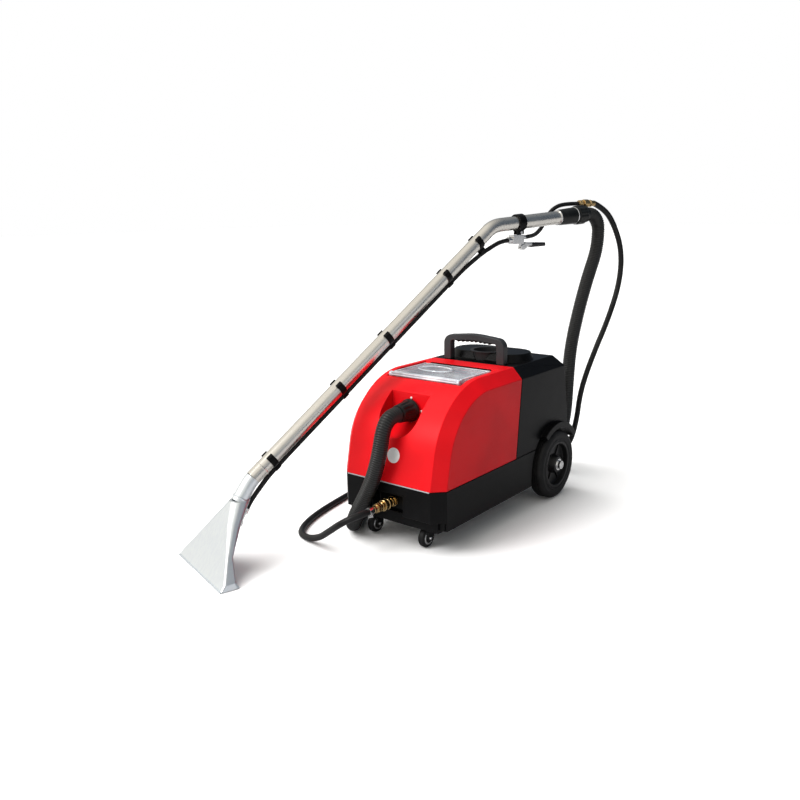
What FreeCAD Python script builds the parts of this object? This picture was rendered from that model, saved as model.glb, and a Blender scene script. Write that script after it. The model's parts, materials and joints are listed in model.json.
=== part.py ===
import FreeCAD, Part
import math
import os
import re
from types import SimpleNamespace

import Sketcher
from FreeCAD import Placement, Rotation, Vector

# A box extractor for carpets: a moulded body on two wheels and two casters, with a clear-lidded
# recovery tank in front, a solution tank behind, and a floor wand on its vacuum hose.
# Millimetres. The machine's front faces -Y, +Z is up from the floor, and +X is on the left of
# someone who stands behind it.

SIZES = {
    # where the machine's own zero (front foot of the body, on its centre line) lies in the frame
    "frame_x": 95.0, "frame_y": -230.0,
    # body outline
    "body_half": 162.0, "wall": 4.0, "edge_band": 29.0, "base_top": 166.0, "skirt_bottom": 64.0,
    "floor_bottom": 86.0, "floor_top": 90.0, "base_rear": 622.0, "seam": 0.5, "bay_half": 118.0,
    "arch_radius": 122.0, "arch_inner": 124.0, "cavity_rear": 430.0,
    # recess in the base for the solution coupling
    "port_half": 48.0, "port_top": 138.0, "port_depth": 30.0,
    # under tray
    "tray_half": 142.0, "tray_front": 20.0, "tray_rear": 428.0, "tray_bottom": 56.0, "tray_plate": 80.0,
    # recovery tank shell
    "shell_lean": 50.0, "shell_roll": 207.0, "shell_top": 411.0, "shell_rear_low": 350.0,
    "shell_rear_high": 377.0, "scoop_half": 61.0, "scoop_centre": 335.0, "scoop_top": 378.0,
    "scoop_back": 104.0, "scoop_ledge": 300.0, "scoop_mouth": 26.0, "scoop_foot": 270.0,
    "inlet_height": 331.0, "inlet_bore": 19.0,
    # lid and its well
    "well_half": 118.0, "well_front": 150.0, "well_rear": 321.0, "well_floor": 397.0,
    "hatch_half": 96.0, "hatch_front": 172.0, "hatch_rear": 298.0, "gasket_lip": 9.0, "gasket_top": 398.7,
    "lid_half": 112.0, "lid_front": 158.0, "lid_bottom": 399.0, "lid_top": 407.0, "lid_skin": 3.0,
    "lid_rim": 20.0, "lid_bar": 6.2, "lid_hinge_y": 312.0, "lid_hinge_z": 403.0, "lid_barrel": 5.0,
    "lid_pin": 2.0, "lug_inner": 101.0, "lug_outer": 112.0, "barrel_half": 100.0, "running": 0.05,
    # solution tank
    "tank_top": 411.0, "tank_rear_top": 594.0, "tank_rear_edge": 613.0, "tank_shoulder": 383.0,
    "tank_tail": 637.0, "tank_tail_z": 237.0, "tank_foot": 640.0, "tank_foot_z": 190.0,
    "bay_top": 236.0, "bay_roof": 240.0, "bay_front": 400.0, "fender_in": 108.0, "fender_out": 126.0,
    "fender_x": 150.0, "fender_width": 30.0,
    # fill port
    "fill_y": 458.0, "fill_bore": 44.0, "pad_y": 480.0, "pad_half": 60.0, "pad_round": 65.0,
    "pad_taper": 8.0, "pad_top": 432.0, "strainer_rim": 50.0, "strainer_wall": 3.0,
    "strainer_floor": 362.0,
    "strainer_rim_top": 435.0, "strainer_gap": 0.5,
    # carry handle
    "grip_half": 99.0, "grip_post": 24.0, "grip_shoulder": 479.0, "grip_crown": 489.0,
    "grip_under": 465.0, "grip_under_crown": 470.0, "grip_front": 381.0, "grip_depth": 22.0,
    "grip_bump": 4.0, "grip_bump_pitch": 14.5, "grip_screw": 2.5, "grip_screw_head": 5.0,
    # rear axle and wheels
    "wheel_radius": 100.0, "axle_y": 559.0, "axle_radius": 8.0, "axle_half": 190.0, "wheel_inner": 133.0,
    "wheel_width": 45.0, "rim_radius": 68.0, "hub_radius": 22.0, "web_half": 4.0, "tyre_round": 10.0,
    "washer_radius": 17.0, "washer_thick": 2.0, "washer_gap": 0.3, "nut_radius": 12.0, "nut_length": 9.0,
    # casters
    "caster_x": 83.0, "caster_y": 66.0, "caster_trail": 16.0, "caster_radius": 25.0, "caster_half": 9.0,
    "fork_inner": 10.2, "fork_plate": 2.5, "fork_crown": 55.0, "race_radius": 19.0, "race_bottom": 60.0,
    "mount_half": 30.0, "mount_thick": 3.0, "kingpin": 5.0, "caster_pin": 4.0, "caster_hub": 16.0,
    # vacuum motor, pump and wiring
    "motor_y": 486.0, "motor_radius": 62.0, "motor_top": 226.0, "rotor_shaft": 5.0,
    "armature_radius": 32.0,
    "fan_radius": 54.0, "pump_x": 86.0, "pump_half": 32.0, "pump_front": 200.0, "pump_rear": 262.0,
    "pump_top": 152.0, "pump_motor": 24.0, "pump_motor_length": 84.0, "line_outer": 6.0,
    "line_inner": 4.0,
    # recovery tank pieces
    "stand_x": -46.0, "stand_y": 262.0, "stand_radius": 20.0, "stand_top": 340.0, "cage_radius": 27.0,
    "cage_top": 386.0, "float_radius": 17.0, "float_z": 361.0,
    # rear panel: switches, cable gland and drain
    "plate_left": -104.0, "plate_right": -12.0, "plate_low": 98.0, "plate_high": 146.0,
    "plate_thick": 3.0, "switch_first": -80.0, "switch_pitch": 44.0, "switch_z": 122.0,
    "rocker_half": 11.0, "rocker_tall": 14.0, "rocker_gap": 1.5, "gland_x": 96.0, "gland_z": 130.0,
    "drain_x": 46.0, "drain_z": 112.0, "drain_radius": 15.0, "drain_length": 44.0,
    # solution coupling at the front
    "couple_z": 110.5, "couple_stud": 8.0, "couple_body": 11.0, "couple_sleeve": 15.0,
    # round blank badge
    "badge_radius": 19.0, "badge_thick": 1.2, "badge_x": 12.0,
    # wand, in its own frame: x across, y along the wand's run, z up
    "wand_x": -253.0, "wand_y": -395.0, "wand_lift": 1.0, "wand_heading": -16.39, "tube_radius": 19.0,
    "tube_wall": 1.6, "foot_s": 150.0, "foot_z": 202.0, "elbow_s": 905.0, "elbow_z": 775.6,
    "elbow_round": 85.0, "tube_end_s": 1250.0, "tube_end_z": 799.7, "neck_s": 112.0, "neck_z": 153.0,
    "head_half": 132.0, "head_depth": 22.5, "head_wall": 1.6, "band_width": 12.0, "band_thick": 2.2,
    "clip_drop": 26.0, "spray_radius": 6.0,
    # cuffs and collar on the vacuum hose
    "hose_radius": 20.0, "hose_bore": 17.5, "cuff_end": 46.0, "cuff_start": 99.0,
    # solution hose
    "line_radius": 8.5, "line_bore": 5.0,
}

# Free hoses, in the machine's own coordinates.
VACUUM_ROUTE = (
    (0, 46, 331), (0, 22, 331), (0, 0, 318), (-1, -12, 294), (-4, -18, 256), (-12, -23, 212),
    (-31, -25, 160), (-61, -26, 106), (-93, -21, 58), (-123, 4, 21), (-160, 58, 20.5), (-194, 132, 20.5),
    (-222, 234, 20.5), (-240, 347, 20.5), (-242, 467, 20.5), (-226, 587, 20.5), (-182, 690, 20.5),
    (-100, 756, 20.5), (0, 778, 38), (62, 784, 92), (80, 788, 190), (84, 786, 290), (90, 786, 400),
    (104, 802, 510), (113, 838, 610), (120, 876, 686), (122.3, 880.9, 730), (122.3, 880.9, 766.5),
    (118.6, 868.5, 790), (111.9, 846.4, 803.6), (103.8, 818.2, 801.5),
)
SOLUTION_ROUTE = (
    (0, -56, 110.5), (0, -86, 110.5), (-13, -112, 106), (-42, -128, 88), (-86, -123, 56),
    (-132, -112, 24), (-180, -106, 8.5), (-220, -94, 8.5), (-250, -50, 8.5), (-273, 6, 8.5),
    (-291, 72, 8.5), (-306, 150, 8.5), (-322, 240, 8.5), (-336, 340, 8.5), (-338, 455, 8.5),
    (-324, 570, 8.5), (-284, 680, 8.5), (-206, 775, 8.5),
    (-108, 832, 8.5), (-10, 852, 14), (62, 852, 62), (90, 844, 150), (102, 842, 260), (120, 886, 370),
    (140, 945, 480), (154, 985, 590), (152, 993, 690), (132, 965, 775), (112, 936, 817),
    (98.7, 892.7, 833),
)
# Lines that the machine or the wand holds all the way.
PUMP_ROUTE = ((86, 199, 118), (86, 150, 118), (60, 96, 114), (20, 66, 111), (0, 38, 110.5))
FEED_ROUTE = ((86, 348, 118), (86, 376, 124), (60, 392, 146), (60, 396, 166))
PRESSURE_ROUTE = (
    (0, 960, 735), (0, 928, 730), (0, 872, 706), (0, 800, 663), (0, 600, 511.4), (0, 400, 359.5),
    (0, 240, 238), (0, 190, 198), (0, 158, 164),
)
WHIP_ROUTE = (
    (0, 1026, 742), (-5, 1054, 743), (-20, 1090, 748), (-26, 1120, 768), (-27, 1138, 796),
    (-27, 1164, 820),
    (-26, 1205, 832), (-26, 1265, 832),
)

doc = FreeCAD.newDocument("carpet_cleaner")
sheet = doc.addObject("Spreadsheet::Sheet", "Sizes")
S = SimpleNamespace(**SIZES)
TURNS = {
    "x": Rotation(Vector(0, 1, 0), 90), "y": Rotation(Vector(1, 0, 0), -90), "z": Rotation(),
}
nodes = []


def fill_sheet():
    for row, (name, value) in enumerate(SIZES.items(), 1):
        sheet.set(f"A{row}", name)
        sheet.set(f"B{row}", str(value))
        sheet.setAlias(f"B{row}", name)
    doc.recompute()


def cell(text):
    """Turn every size name in an expression into a reference to its cell."""
    return re.sub(r"[a-z_]+", lambda word: f"Sizes.{word[0]}" if word[0] in SIZES else word[0], str(text))


def bind(thing, **links):
    for prop, text in links.items():
        thing.setExpression(prop, cell(text))
    return thing


def put(thing, at, turn=None):
    """Place a thing at three bound coordinates."""
    if turn is not None:
        thing.Placement = Placement(Vector(), turn)
    for axis, text in zip("xyz", at):
        thing.setExpression(f"Placement.Base.{axis}", cell(text))
    return thing


def slab(xs, ys, zs):
    piece = doc.addObject("Part::Box", "Slab")
    for prop, (low, high) in zip(("Length", "Width", "Height"), (xs, ys, zs)):
        piece.setExpression(prop, cell(f"({high}) - ({low})"))
    return put(piece, (xs[0], ys[0], zs[0]))


def rod(radius, length, at, axis="z"):
    piece = bind(doc.addObject("Part::Cylinder", "Rod"), Radius=radius, Height=length)
    return put(piece, at, TURNS[axis])


def cone(low, high, length, at):
    piece = bind(doc.addObject("Part::Cone", "Cone"), Radius1=low, Radius2=high, Height=length)
    return put(piece, at)


def ball(radius, at):
    return put(bind(doc.addObject("Part::Sphere", "Ball"), Radius=radius), at)


def fuse(*pieces):
    whole = doc.addObject("Part::MultiFuse", "Fuse")
    whole.Shapes = list(pieces)
    return whole


def cut(base, *tools):
    whole = doc.addObject("Part::Cut", "Cut")
    whole.Base = base
    whole.Tool = tools[0] if len(tools) == 1 else fuse(*tools)
    return whole


def common(first, second):
    whole = doc.addObject("Part::MultiCommon", "Common")
    whole.Shapes = [first, second]
    return whole


def group(*pieces):
    whole = doc.addObject("Part::Compound", "Group")
    whole.Links = list(pieces)
    return whole


def ring(outer, inner, length, at, axis="z"):
    return cut(rod(outer, length, at, axis), rod(inner, length, at, axis))


def new_sketch(body, plane, start="0"):
    """A sketch on one of the body's origin planes, moved along the plane's normal."""
    sketch = body.newObject("Sketcher::SketchObject", "Profile")
    face = next(item for item in body.Origin.OriginFeatures if item.Role == plane + "_Plane")
    sketch.AttachmentSupport = [(face, "")]
    sketch.MapMode = "FlatFace"
    lift = f"-({start})" if plane == "XZ" else f"{start}"
    sketch.setExpression("AttachmentOffset.Base.z", cell(lift))
    return sketch


def pin_point(sketch, item, corner, point):
    for kind, text in zip(("DistanceX", "DistanceY"), point):
        index = sketch.addConstraint(Sketcher.Constraint(kind, -1, 1, item, corner, 1.0))
        sketch.setExpression(f"Constraints[{index}]", cell(text))


def outline(sketch, points):
    """A closed polygon with every corner bound to two expressions."""
    count = len(points)
    starts = [Vector(math.cos(2 * math.pi * k / count), math.sin(2 * math.pi * k / count)) * 100
              for k in range(count)]
    for k in range(count):
        sketch.addGeometry(Part.LineSegment(starts[k], starts[(k + 1) % count]), False)
    for k in range(count):
        sketch.addConstraint(Sketcher.Constraint("Coincident", k, 2, (k + 1) % count, 1))
    for k, point in enumerate(points):
        pin_point(sketch, k, 1, point)


def new_body():
    return doc.addObject("PartDesign::Body", "Body")


def prism(plane, points, start, end):
    """A body: a bound polygon pulled from start to end along the plane's axis."""
    body = new_body()
    sketch = new_sketch(body, plane, start)
    outline(sketch, points)
    pad = body.newObject("PartDesign::Pad", "Pad")
    pad.Profile = sketch
    pad.Reversed = plane == "XZ"
    pad.setExpression("Length", cell(f"({end}) - ({start})"))
    return body


def spun(points, at=None, turn=None):
    """A body: a bound polygon of (along, radius) corners turned about its own X axis."""
    body = new_body()
    sketch = new_sketch(body, "XZ")
    outline(sketch, points)
    turned = body.newObject("PartDesign::Revolution", "Turned")
    turned.Profile = sketch
    turned.ReferenceAxis = (sketch, ["H_Axis"])
    turned.Angle = 360
    return put(body, at, turn) if at else body


def dress(body, kind, picks, **links):
    """Fillet or chamfer the edges of the body's last feature that a test picks."""
    doc.recompute()
    last = body.Tip
    names = [f"Edge{k}" for k, edge in enumerate(last.Shape.Edges, 1) if picks(edge)]
    feature = body.newObject("PartDesign::" + kind, kind)
    feature.Base = (last, names)
    bind(feature, **links)
    return body


def near(value, target):
    return abs(value - target) < 0.05


def node(name, piece, wand=False):
    """Name a finished piece and place it in the frame."""
    if any("Placement" in prop for prop, _ in piece.ExpressionEngine):
        piece = group(piece)
    piece.Label = name
    if wand:
        at = ("frame_x + wand_x", "frame_y + wand_y", "wand_lift")
        put(piece, at, Rotation(Vector(0, 0, 1), S.wand_heading))
    else:
        put(piece, ("frame_x", "frame_y", "0"))
    nodes.append(piece)
    return piece


def route_wire(name, points):
    """Straight runs joined by tangent arcs as large as the runs allow."""
    stops = [Vector(*point) for point in points]
    edges = []
    radii = []
    last = stops[0]
    for before, corner, after in zip(stops, stops[1:], stops[2:]):
        inward = (corner - before).normalize()
        outward = (after - corner).normalize()
        half_turn = inward.getAngle(outward) / 2
        reach = 0.45 * min((corner - before).Length, (after - corner).Length)
        radius = reach / math.tan(half_turn)
        start = corner - inward * reach
        finish = corner + outward * reach
        side = (outward - inward).normalize()
        middle = corner + side * (radius / math.cos(half_turn) - radius)
        edges.append(Part.LineSegment(last, start).toShape())
        edges.append(Part.Arc(start, middle, finish).toShape())
        radii.append(round(radius))
        last = finish
    edges.append(Part.LineSegment(last, stops[-1]).toShape())
    wire = Part.Wire(edges)
    print(name, "length", round(wire.Length), "radii", radii)
    return wire


def tube(name, points, radius, bore):
    """A hose along a route, kept as a plain shape because no sketch holds a path in space."""
    wire = route_wire(name, points)
    stops = [Vector(*point) for point in points[:2]]
    axis = stops[1] - stops[0]
    solids = []
    for size in (radius, bore):
        profile = Part.Wire([Part.makeCircle(size, stops[0], axis)])
        solids.append(wire.makePipeShell([profile], True, True))
    hose = solids[0].cut(solids[1])
    ideal = math.pi * (radius ** 2 - bore ** 2) * wire.Length
    if abs(hose.Volume / ideal - 1) > 0.01:
        raise RuntimeError(f"{name}: the sweep's volume is off")
    piece = doc.addObject("Part::Feature", "Hose")
    piece.Shape = hose
    return piece


# ---- body -----------------------------------------------------------------------------------

def plan(inset, rear):
    """Plan of the base with its two front corners cut off."""
    half = f"body_half - {inset}"
    corner = f"body_half - edge_band - {inset} * 0.4"
    return (
        (f"-({corner})", f"{inset}"), (corner, f"{inset}"), (half, f"edge_band + {inset} * 0.4"),
        (half, rear), (f"-({half})", rear), (f"-({half})", f"edge_band + {inset} * 0.4"),
    )


def arch(grow="0"):
    """The two wheel arches, as one tool."""
    sides = []
    for start in ("arch_inner", "-(body_half + 20)"):
        low = f"{start} - {grow}" if start == "arch_inner" else start
        length = f"body_half + 20 - arch_inner + {grow}"
        sides.append(rod(f"arch_radius + {grow}", length, (low, "axle_y", "wheel_radius"), "x"))
    return fuse(*sides)


def port_form(grow):
    """The recess round the solution coupling."""
    half = f"port_half + {grow}"
    return slab((f"-({half})", half), ("-5", f"port_depth + {grow}"),
                ("floor_bottom - 1", f"port_top + {grow}"))


def make_base():
    outer = prism("XY", plan("0", "base_rear"), "skirt_bottom", "base_top")
    block = cut(
        outer,
        prism("XY", plan("wall", "cavity_rear"), "floor_top", "base_top + 1"),
        slab(("-bay_half", "bay_half"), ("cavity_rear - 1", "base_rear - wall"),
             ("floor_top", "base_top + 1")),
        prism("XY", plan("wall", "cavity_rear"), "skirt_bottom - 1", "floor_bottom"),
        slab(("-body_half", "body_half"), ("-1", "edge_band"), ("skirt_bottom - 1", "floor_bottom")),
        slab(("-body_half", "body_half"), ("cavity_rear + 6", "base_rear + 1"),
             ("skirt_bottom - 1", "floor_bottom")),
        arch(),
    )
    liner = common(port_form("wall"), prism("XY", plan("0", "base_rear"), "floor_bottom", "base_top"))
    openings = [
        port_form("0"),
        rod("axle_radius", "2 * axle_half", ("-axle_half", "axle_y", "wheel_radius"), "x"),
        rod("couple_stud", "20", ("0", "port_depth - 5", "couple_z"), "y"),
        rod("5", "20", ("gland_x", "base_rear - 10", "gland_z"), "y"),
        rod("8", "20", ("drain_x", "base_rear - 10", "drain_z"), "y"),
    ]
    for number in range(2):
        openings.append(switch_window(number, "base_rear - 10", "base_rear + 1"))
    for number in range(7):
        middle = f"{-72 + 24 * number}"
        openings.append(slab((f"{middle} - 5", f"{middle} + 5"), ("300", "400"),
                             ("floor_bottom - 1", "floor_top + 1")))
    node("base_pan", cut(fuse(block, liner), *openings))


def make_tray():
    outer = slab(("-tray_half", "tray_half"), ("tray_front", "tray_rear"),
                 ("tray_bottom", "floor_bottom"))
    hollow = slab(("wall - tray_half", "tray_half - wall"), ("tray_front + wall", "tray_rear - wall"),
                  ("tray_bottom - 1", "tray_plate"))
    vent = slab(("-86", "86"), ("296", "404"), ("tray_plate - 1", "floor_bottom + 1"))
    node("under_tray", cut(outer, hollow, vent))


def shell_form(inset):
    """The recovery tank's form: a leaning front rolled into the top, with bevelled sides."""
    top = f"shell_top - {inset}"
    foot = f"base_top + seam + {inset}"
    profile = (
        (f"{inset}", foot), (f"shell_lean + {inset}", top),
        (f"shell_rear_high - {inset}", top), (f"shell_rear_low - {inset}", foot),
    )
    body = prism("YZ", profile, f"{inset} - body_half", f"body_half - {inset}")
    amount = S.wall if inset == "wall" else 0.0
    roll_y = S.shell_lean + amount
    dress(body, "Fillet", lambda edge: near(edge.CenterOfMass.y, roll_y) and near(edge.CenterOfMass.x, 0),
          Radius=f"shell_roll - {inset}")
    side = S.body_half - amount
    low = S.base_top + S.seam + amount

    def on_band(edge):
        middle = edge.CenterOfMass
        at_side = near(abs(middle.x), side)
        at_rear = middle.y > S.shell_rear_low - amount - 1 and middle.z < S.shell_top - amount - 1
        return at_side and middle.z > low + 1 and not at_rear

    return dress(body, "Chamfer", on_band, Size=f"edge_band - 0.6 * {inset}")


def scoop_form(grow):
    """The hose recess: a straight-sided arch form whose ledge runs out to the front."""
    half = f"scoop_half + {grow}"
    face = fuse(
        slab((f"-({half})", half), ("-30", "200"), ("scoop_centre", f"scoop_top + {grow}")),
        rod(half, "230", ("0", "-30", "scoop_centre"), "y"),
    )
    profile = (
        ("-30", f"scoop_top + {grow}"), (f"scoop_back + {grow}", f"scoop_top + {grow}"),
        (f"scoop_back + {grow}", f"scoop_ledge - {grow}"), ("scoop_mouth", f"scoop_foot - {grow}"),
        ("-30", f"scoop_foot - 20 - {grow}"),
    )
    return common(face, prism("YZ", profile, "-80", "80"))


def make_recovery_tank():
    shell = cut(shell_form("0"), shell_form("wall"))
    liner = common(scoop_form("wall"), shell_form("0"))
    well = slab(("-well_half", "well_half"), ("well_front", "well_rear"), ("well_floor", "shell_top + 5"))
    well_wall = slab(("-well_half - wall", "well_half + wall"), ("well_front - wall", "well_rear + wall"),
                     ("well_floor - wall", "shell_top + 5"))
    well_liner = common(well_wall, shell_form("0"))
    hatch = slab(("-hatch_half", "hatch_half"), ("hatch_front", "hatch_rear"),
                 ("well_floor - 10", "shell_top"))
    lugs = []
    for low, high in (("-lug_outer", "-lug_inner"), ("lug_inner", "lug_outer")):
        lugs.append(slab((low, high), ("lid_hinge_y - 7", "well_rear + 1"),
                         ("well_floor - 1", "lid_hinge_z + 5")))
    bores = [
        rod("lid_pin", "2 * lug_outer", ("-lug_outer", "lid_hinge_y", "lid_hinge_z"), "x"),
        rod("inlet_bore", "20", ("0", "scoop_back - 5", "inlet_height"), "y"),
        rod("stand_radius", "20", ("stand_x", "stand_y", "base_top - 5")),
    ]
    for x, z in inlet_screw_places():
        bores.append(rod("1.5", "24", (x, "scoop_back - 4", z), "y"))
    open_shell = cut(fuse(shell, liner, well_liner), well, hatch, scoop_form("0"))
    node("recovery_tank", cut(fuse(open_shell, *lugs), *bores))


def make_lid():
    plate = slab(("-lid_half", "lid_half"), ("lid_front", "lid_hinge_y"), ("lid_bottom", "lid_top"))
    bar = rod("lid_bar", "2 * lid_half", ("-lid_half", "lid_front", "lid_bottom + 4.8"), "x")
    barrel = rod("lid_barrel", "2 * barrel_half", ("-barrel_half", "lid_hinge_y", "lid_hinge_z"), "x")
    under = slab(("lid_rim - lid_half", "lid_half - lid_rim"),
                 ("lid_front + lid_rim", "lid_hinge_y - 18"),
                 ("lid_bottom - 1", "lid_top - lid_skin"))
    bore = rod("lid_pin + running", "2 * lid_half", ("-lid_half", "lid_hinge_y", "lid_hinge_z"), "x")
    notches = []
    for low, high in (("-lid_half - 1", "-barrel_half"), ("barrel_half", "lid_half + 1")):
        notches.append(slab((low, high), ("lid_hinge_y - 9", "lid_hinge_y + 9"),
                            ("lid_bottom - 1", "lid_top + 1")))
    node("tank_lid", cut(fuse(plate, bar, barrel), under, bore, *notches))
    pin = rod("lid_pin", "2 * lug_outer", ("-lug_outer", "lid_hinge_y", "lid_hinge_z"), "x")
    node("lid_hinge_pin", pin)
    frame = slab(("-hatch_half - gasket_lip", "hatch_half + gasket_lip"),
                 ("hatch_front - gasket_lip", "hatch_rear + 6"), ("well_floor", "gasket_top"))
    hole = slab(("-hatch_half", "hatch_half"), ("hatch_front", "hatch_rear"),
                ("well_floor - 1", "gasket_top + 1"))
    node("lid_gasket", cut(frame, hole))


def tank_profile(inset):
    return (
        (f"shell_rear_low + 2 * seam + {inset}", f"base_top + seam + {inset}"),
        (f"shell_rear_high + 2 * seam + {inset}", f"tank_top - {inset}"),
        (f"tank_rear_top - 0.5 * {inset}", f"tank_top - {inset}"),
        (f"tank_rear_edge - {inset}", f"tank_shoulder - 0.3 * {inset}"),
        (f"tank_tail - {inset}", "tank_tail_z"),
        (f"tank_foot - {inset}", "tank_foot_z"), (f"tank_foot - {inset}", f"base_top + seam + {inset}"),
    )


def bevel_tools(inset):
    """Wedges that cut the tank's two long top edges off at the angle of the shell's band."""
    tools = []
    drop = f"edge_band - 0.6 * {inset}"
    for sign in ("", "-"):
        edge = f"body_half - {inset}"
        points = [
            (f"{sign}({edge} - ({drop}))", f"tank_top - {inset}"),
            (f"{sign}({edge} + 10)", f"tank_top - {inset} - ({drop}) - 10"),
            (f"{sign}({edge} + 10)", f"tank_top + 10"),
            (f"{sign}({edge} - ({drop}))", f"tank_top + 10"),
        ]
        tools.append(prism("XZ", points, "300", "700"))
    return tools


def pad_form():
    """The raised oval round the fill port."""
    length = "pad_top - tank_top + 1"
    middle = prism("YZ", (
        ("pad_y - pad_round", "tank_top - 1"), ("pad_y - pad_round + pad_taper", "pad_top"),
        ("pad_y + pad_round - pad_taper", "pad_top"), ("pad_y + pad_round", "tank_top - 1"),
    ), "-pad_half", "pad_half")
    ends = [cone("pad_round", "pad_round - pad_taper", length, (x, "pad_y", "tank_top - 1"))
            for x in ("-pad_half", "pad_half")]
    return fuse(middle, *ends)


def fender_form():
    pieces = []
    for start in ("fender_x", "-fender_x - fender_width"):
        outer = rod("fender_out", "fender_width", (start, "axle_y", "wheel_radius"), "x")
        inner = rod("fender_in", "fender_width", (start, "axle_y", "wheel_radius"), "x")
        keep = prism("YZ", (
            ("axle_y", "wheel_radius"), ("axle_y + 160", "wheel_radius + 120.6"),
            ("axle_y + 160", "wheel_radius + 200"), ("axle_y - 120", "wheel_radius + 200"),
            ("axle_y - 120", "wheel_radius + 153.6"),
        ), start, f"{start} + fender_width")
        pieces.append(common(cut(outer, inner), keep))
    return pieces


def make_solution_tank():
    outer = cut(prism("YZ", tank_profile("0"), "-body_half", "body_half"), *bevel_tools("0"))
    bay = slab(("6 - bay_half", "bay_half - 6"), ("bay_front", "base_rear"), ("base_top - 1", "bay_top"))
    hollow = cut(
        prism("YZ", tank_profile("wall"), "wall - body_half", "body_half - wall"), *bevel_tools("wall"),
        arch("wall"),
        slab(("-2 - bay_half", "bay_half + 2"), ("bay_front - wall", "base_rear + wall"),
             ("base_top - 1", "bay_roof")),
    )
    shell = cut(fuse(outer, pad_form()), hollow, arch(), bay)
    holes = [
        rod("fill_bore", "60", ("0", "fill_y", "tank_top - 20")),
        rod("8", "10", ("60", "396", "base_top - 1")),
    ]
    holes += [rod("grip_screw", "20", (x, y, "tank_top - 10")) for x, y in handle_screw_places()]
    node("solution_tank", cut(fuse(shell, *fender_form()), *holes))


def make_strainer():
    top = "strainer_rim_top - strainer_wall"
    cup = cut(
        fuse(
            rod("fill_bore - strainer_gap", f"{top} - strainer_floor", ("0", "fill_y", "strainer_floor")),
            rod("strainer_rim", "strainer_wall", ("0", "fill_y", top)),
        ),
        rod("fill_bore - strainer_gap - strainer_wall", "100",
            ("0", "fill_y", "strainer_floor + strainer_wall")),
    )
    slots = []
    for number in range(6):
        window = group(slab(("-4", "4"), ("20", "60"), ("strainer_floor + 10", "tank_top - 12")))
        slots.append(put(window, ("0", "fill_y", "0"), Rotation(Vector(0, 0, 1), 60 * number)))
    node("fill_strainer", cut(cup, *slots))


def handle_screw_places():
    """Two screws up into each foot of the carry handle."""
    middle = "grip_half - grip_post / 2"
    return [(f"{sign}({middle})", f"grip_front + {offset}") for sign in ("", "-") for offset in (8, 17)]


def make_handle():
    inner = "grip_half - grip_post"
    body = prism("XZ", (
        ("-grip_half", "tank_top"), ("-grip_half", "grip_shoulder"), ("0", "grip_crown"),
        ("grip_half", "grip_shoulder"), ("grip_half", "tank_top"), (inner, "tank_top"),
        (inner, "grip_under"), ("0", "grip_under_crown"), (f"-({inner})", "grip_under"),
        (f"-({inner})", "tank_top"),
    ), "grip_front", "grip_front + grip_depth")
    dress(body, "Fillet", lambda edge: near(abs(edge.CenterOfMass.x), S.grip_half)
          and near(edge.CenterOfMass.z, S.grip_shoulder), Radius="26")
    dress(body, "Fillet", lambda edge: near(edge.CenterOfMass.x, 0)
          and edge.CenterOfMass.z > S.grip_under and near(edge.Length, S.grip_depth), Radius="300")
    dress(body, "Fillet", lambda edge: near(abs(edge.CenterOfMass.x), S.grip_half - S.grip_post)
          and near(edge.CenterOfMass.z, S.grip_under), Radius="8")
    bumps = []
    for number in range(8):
        x = (number - 3.5) * S.grip_bump_pitch
        rise = (1 - abs(x) / (S.grip_half - S.grip_post)) * 4
        bumps.append(rod("grip_bump", "grip_depth - 2",
                         (f"{x}", "grip_front + 1", f"grip_under + {rise:.2f}"), "y"))
    bores = [rod("grip_screw", "14", (x, y, "tank_top - 1")) for x, y in handle_screw_places()]
    node("carry_handle", cut(fuse(body, *bumps), *bores))
    screws = []
    for x, y in handle_screw_places():
        shank = rod("grip_screw", "16", (x, y, "tank_top - wall"))
        screws.append(fuse(shank, rod("grip_screw_head", "3", (x, y, "tank_top - wall - 3"))))
    node("handle_screws", group(*screws))


# ---- wheels and casters ---------------------------------------------------------------------

def make_wheels():
    half = "wheel_width / 2"
    tread = "wheel_radius"
    tyre = (
        (f"-({half})", "rim_radius"), (f"-({half})", f"{tread} - tyre_round"),
        (f"tyre_round * 0.4 - {half}", f"{tread} - 3"), (f"tyre_round - {half}", tread),
        (f"{half} - tyre_round", tread), (f"{half} - tyre_round * 0.4", f"{tread} - 3"),
        (half, f"{tread} - tyre_round"), (half, "rim_radius"),
    )
    bore = "axle_radius + running"
    rim = (
        (f"-({half})", bore), (f"-({half})", "hub_radius"), ("-web_half", "hub_radius + 6"),
        ("-web_half", "rim_radius - 12"), (f"2 - {half}", "rim_radius - 8"),
        (f"2 - {half}", "rim_radius"),
        (f"{half} - 2", "rim_radius"), (f"{half} - 2", "rim_radius - 8"), ("web_half", "rim_radius - 12"),
        ("web_half", "hub_radius + 6"), (half, "hub_radius"), (half, bore),
    )
    for side, sign, turn in (("right", "", 0), ("left", "-", 180)):
        at = (f"{sign}(wheel_inner + {half})", "axle_y", "wheel_radius")
        node(f"tyre_{side}", spun(tyre, at, Rotation(Vector(0, 0, 1), turn)))
        node(f"wheel_rim_{side}", spun(rim, at, Rotation(Vector(0, 0, 1), turn)))


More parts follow.
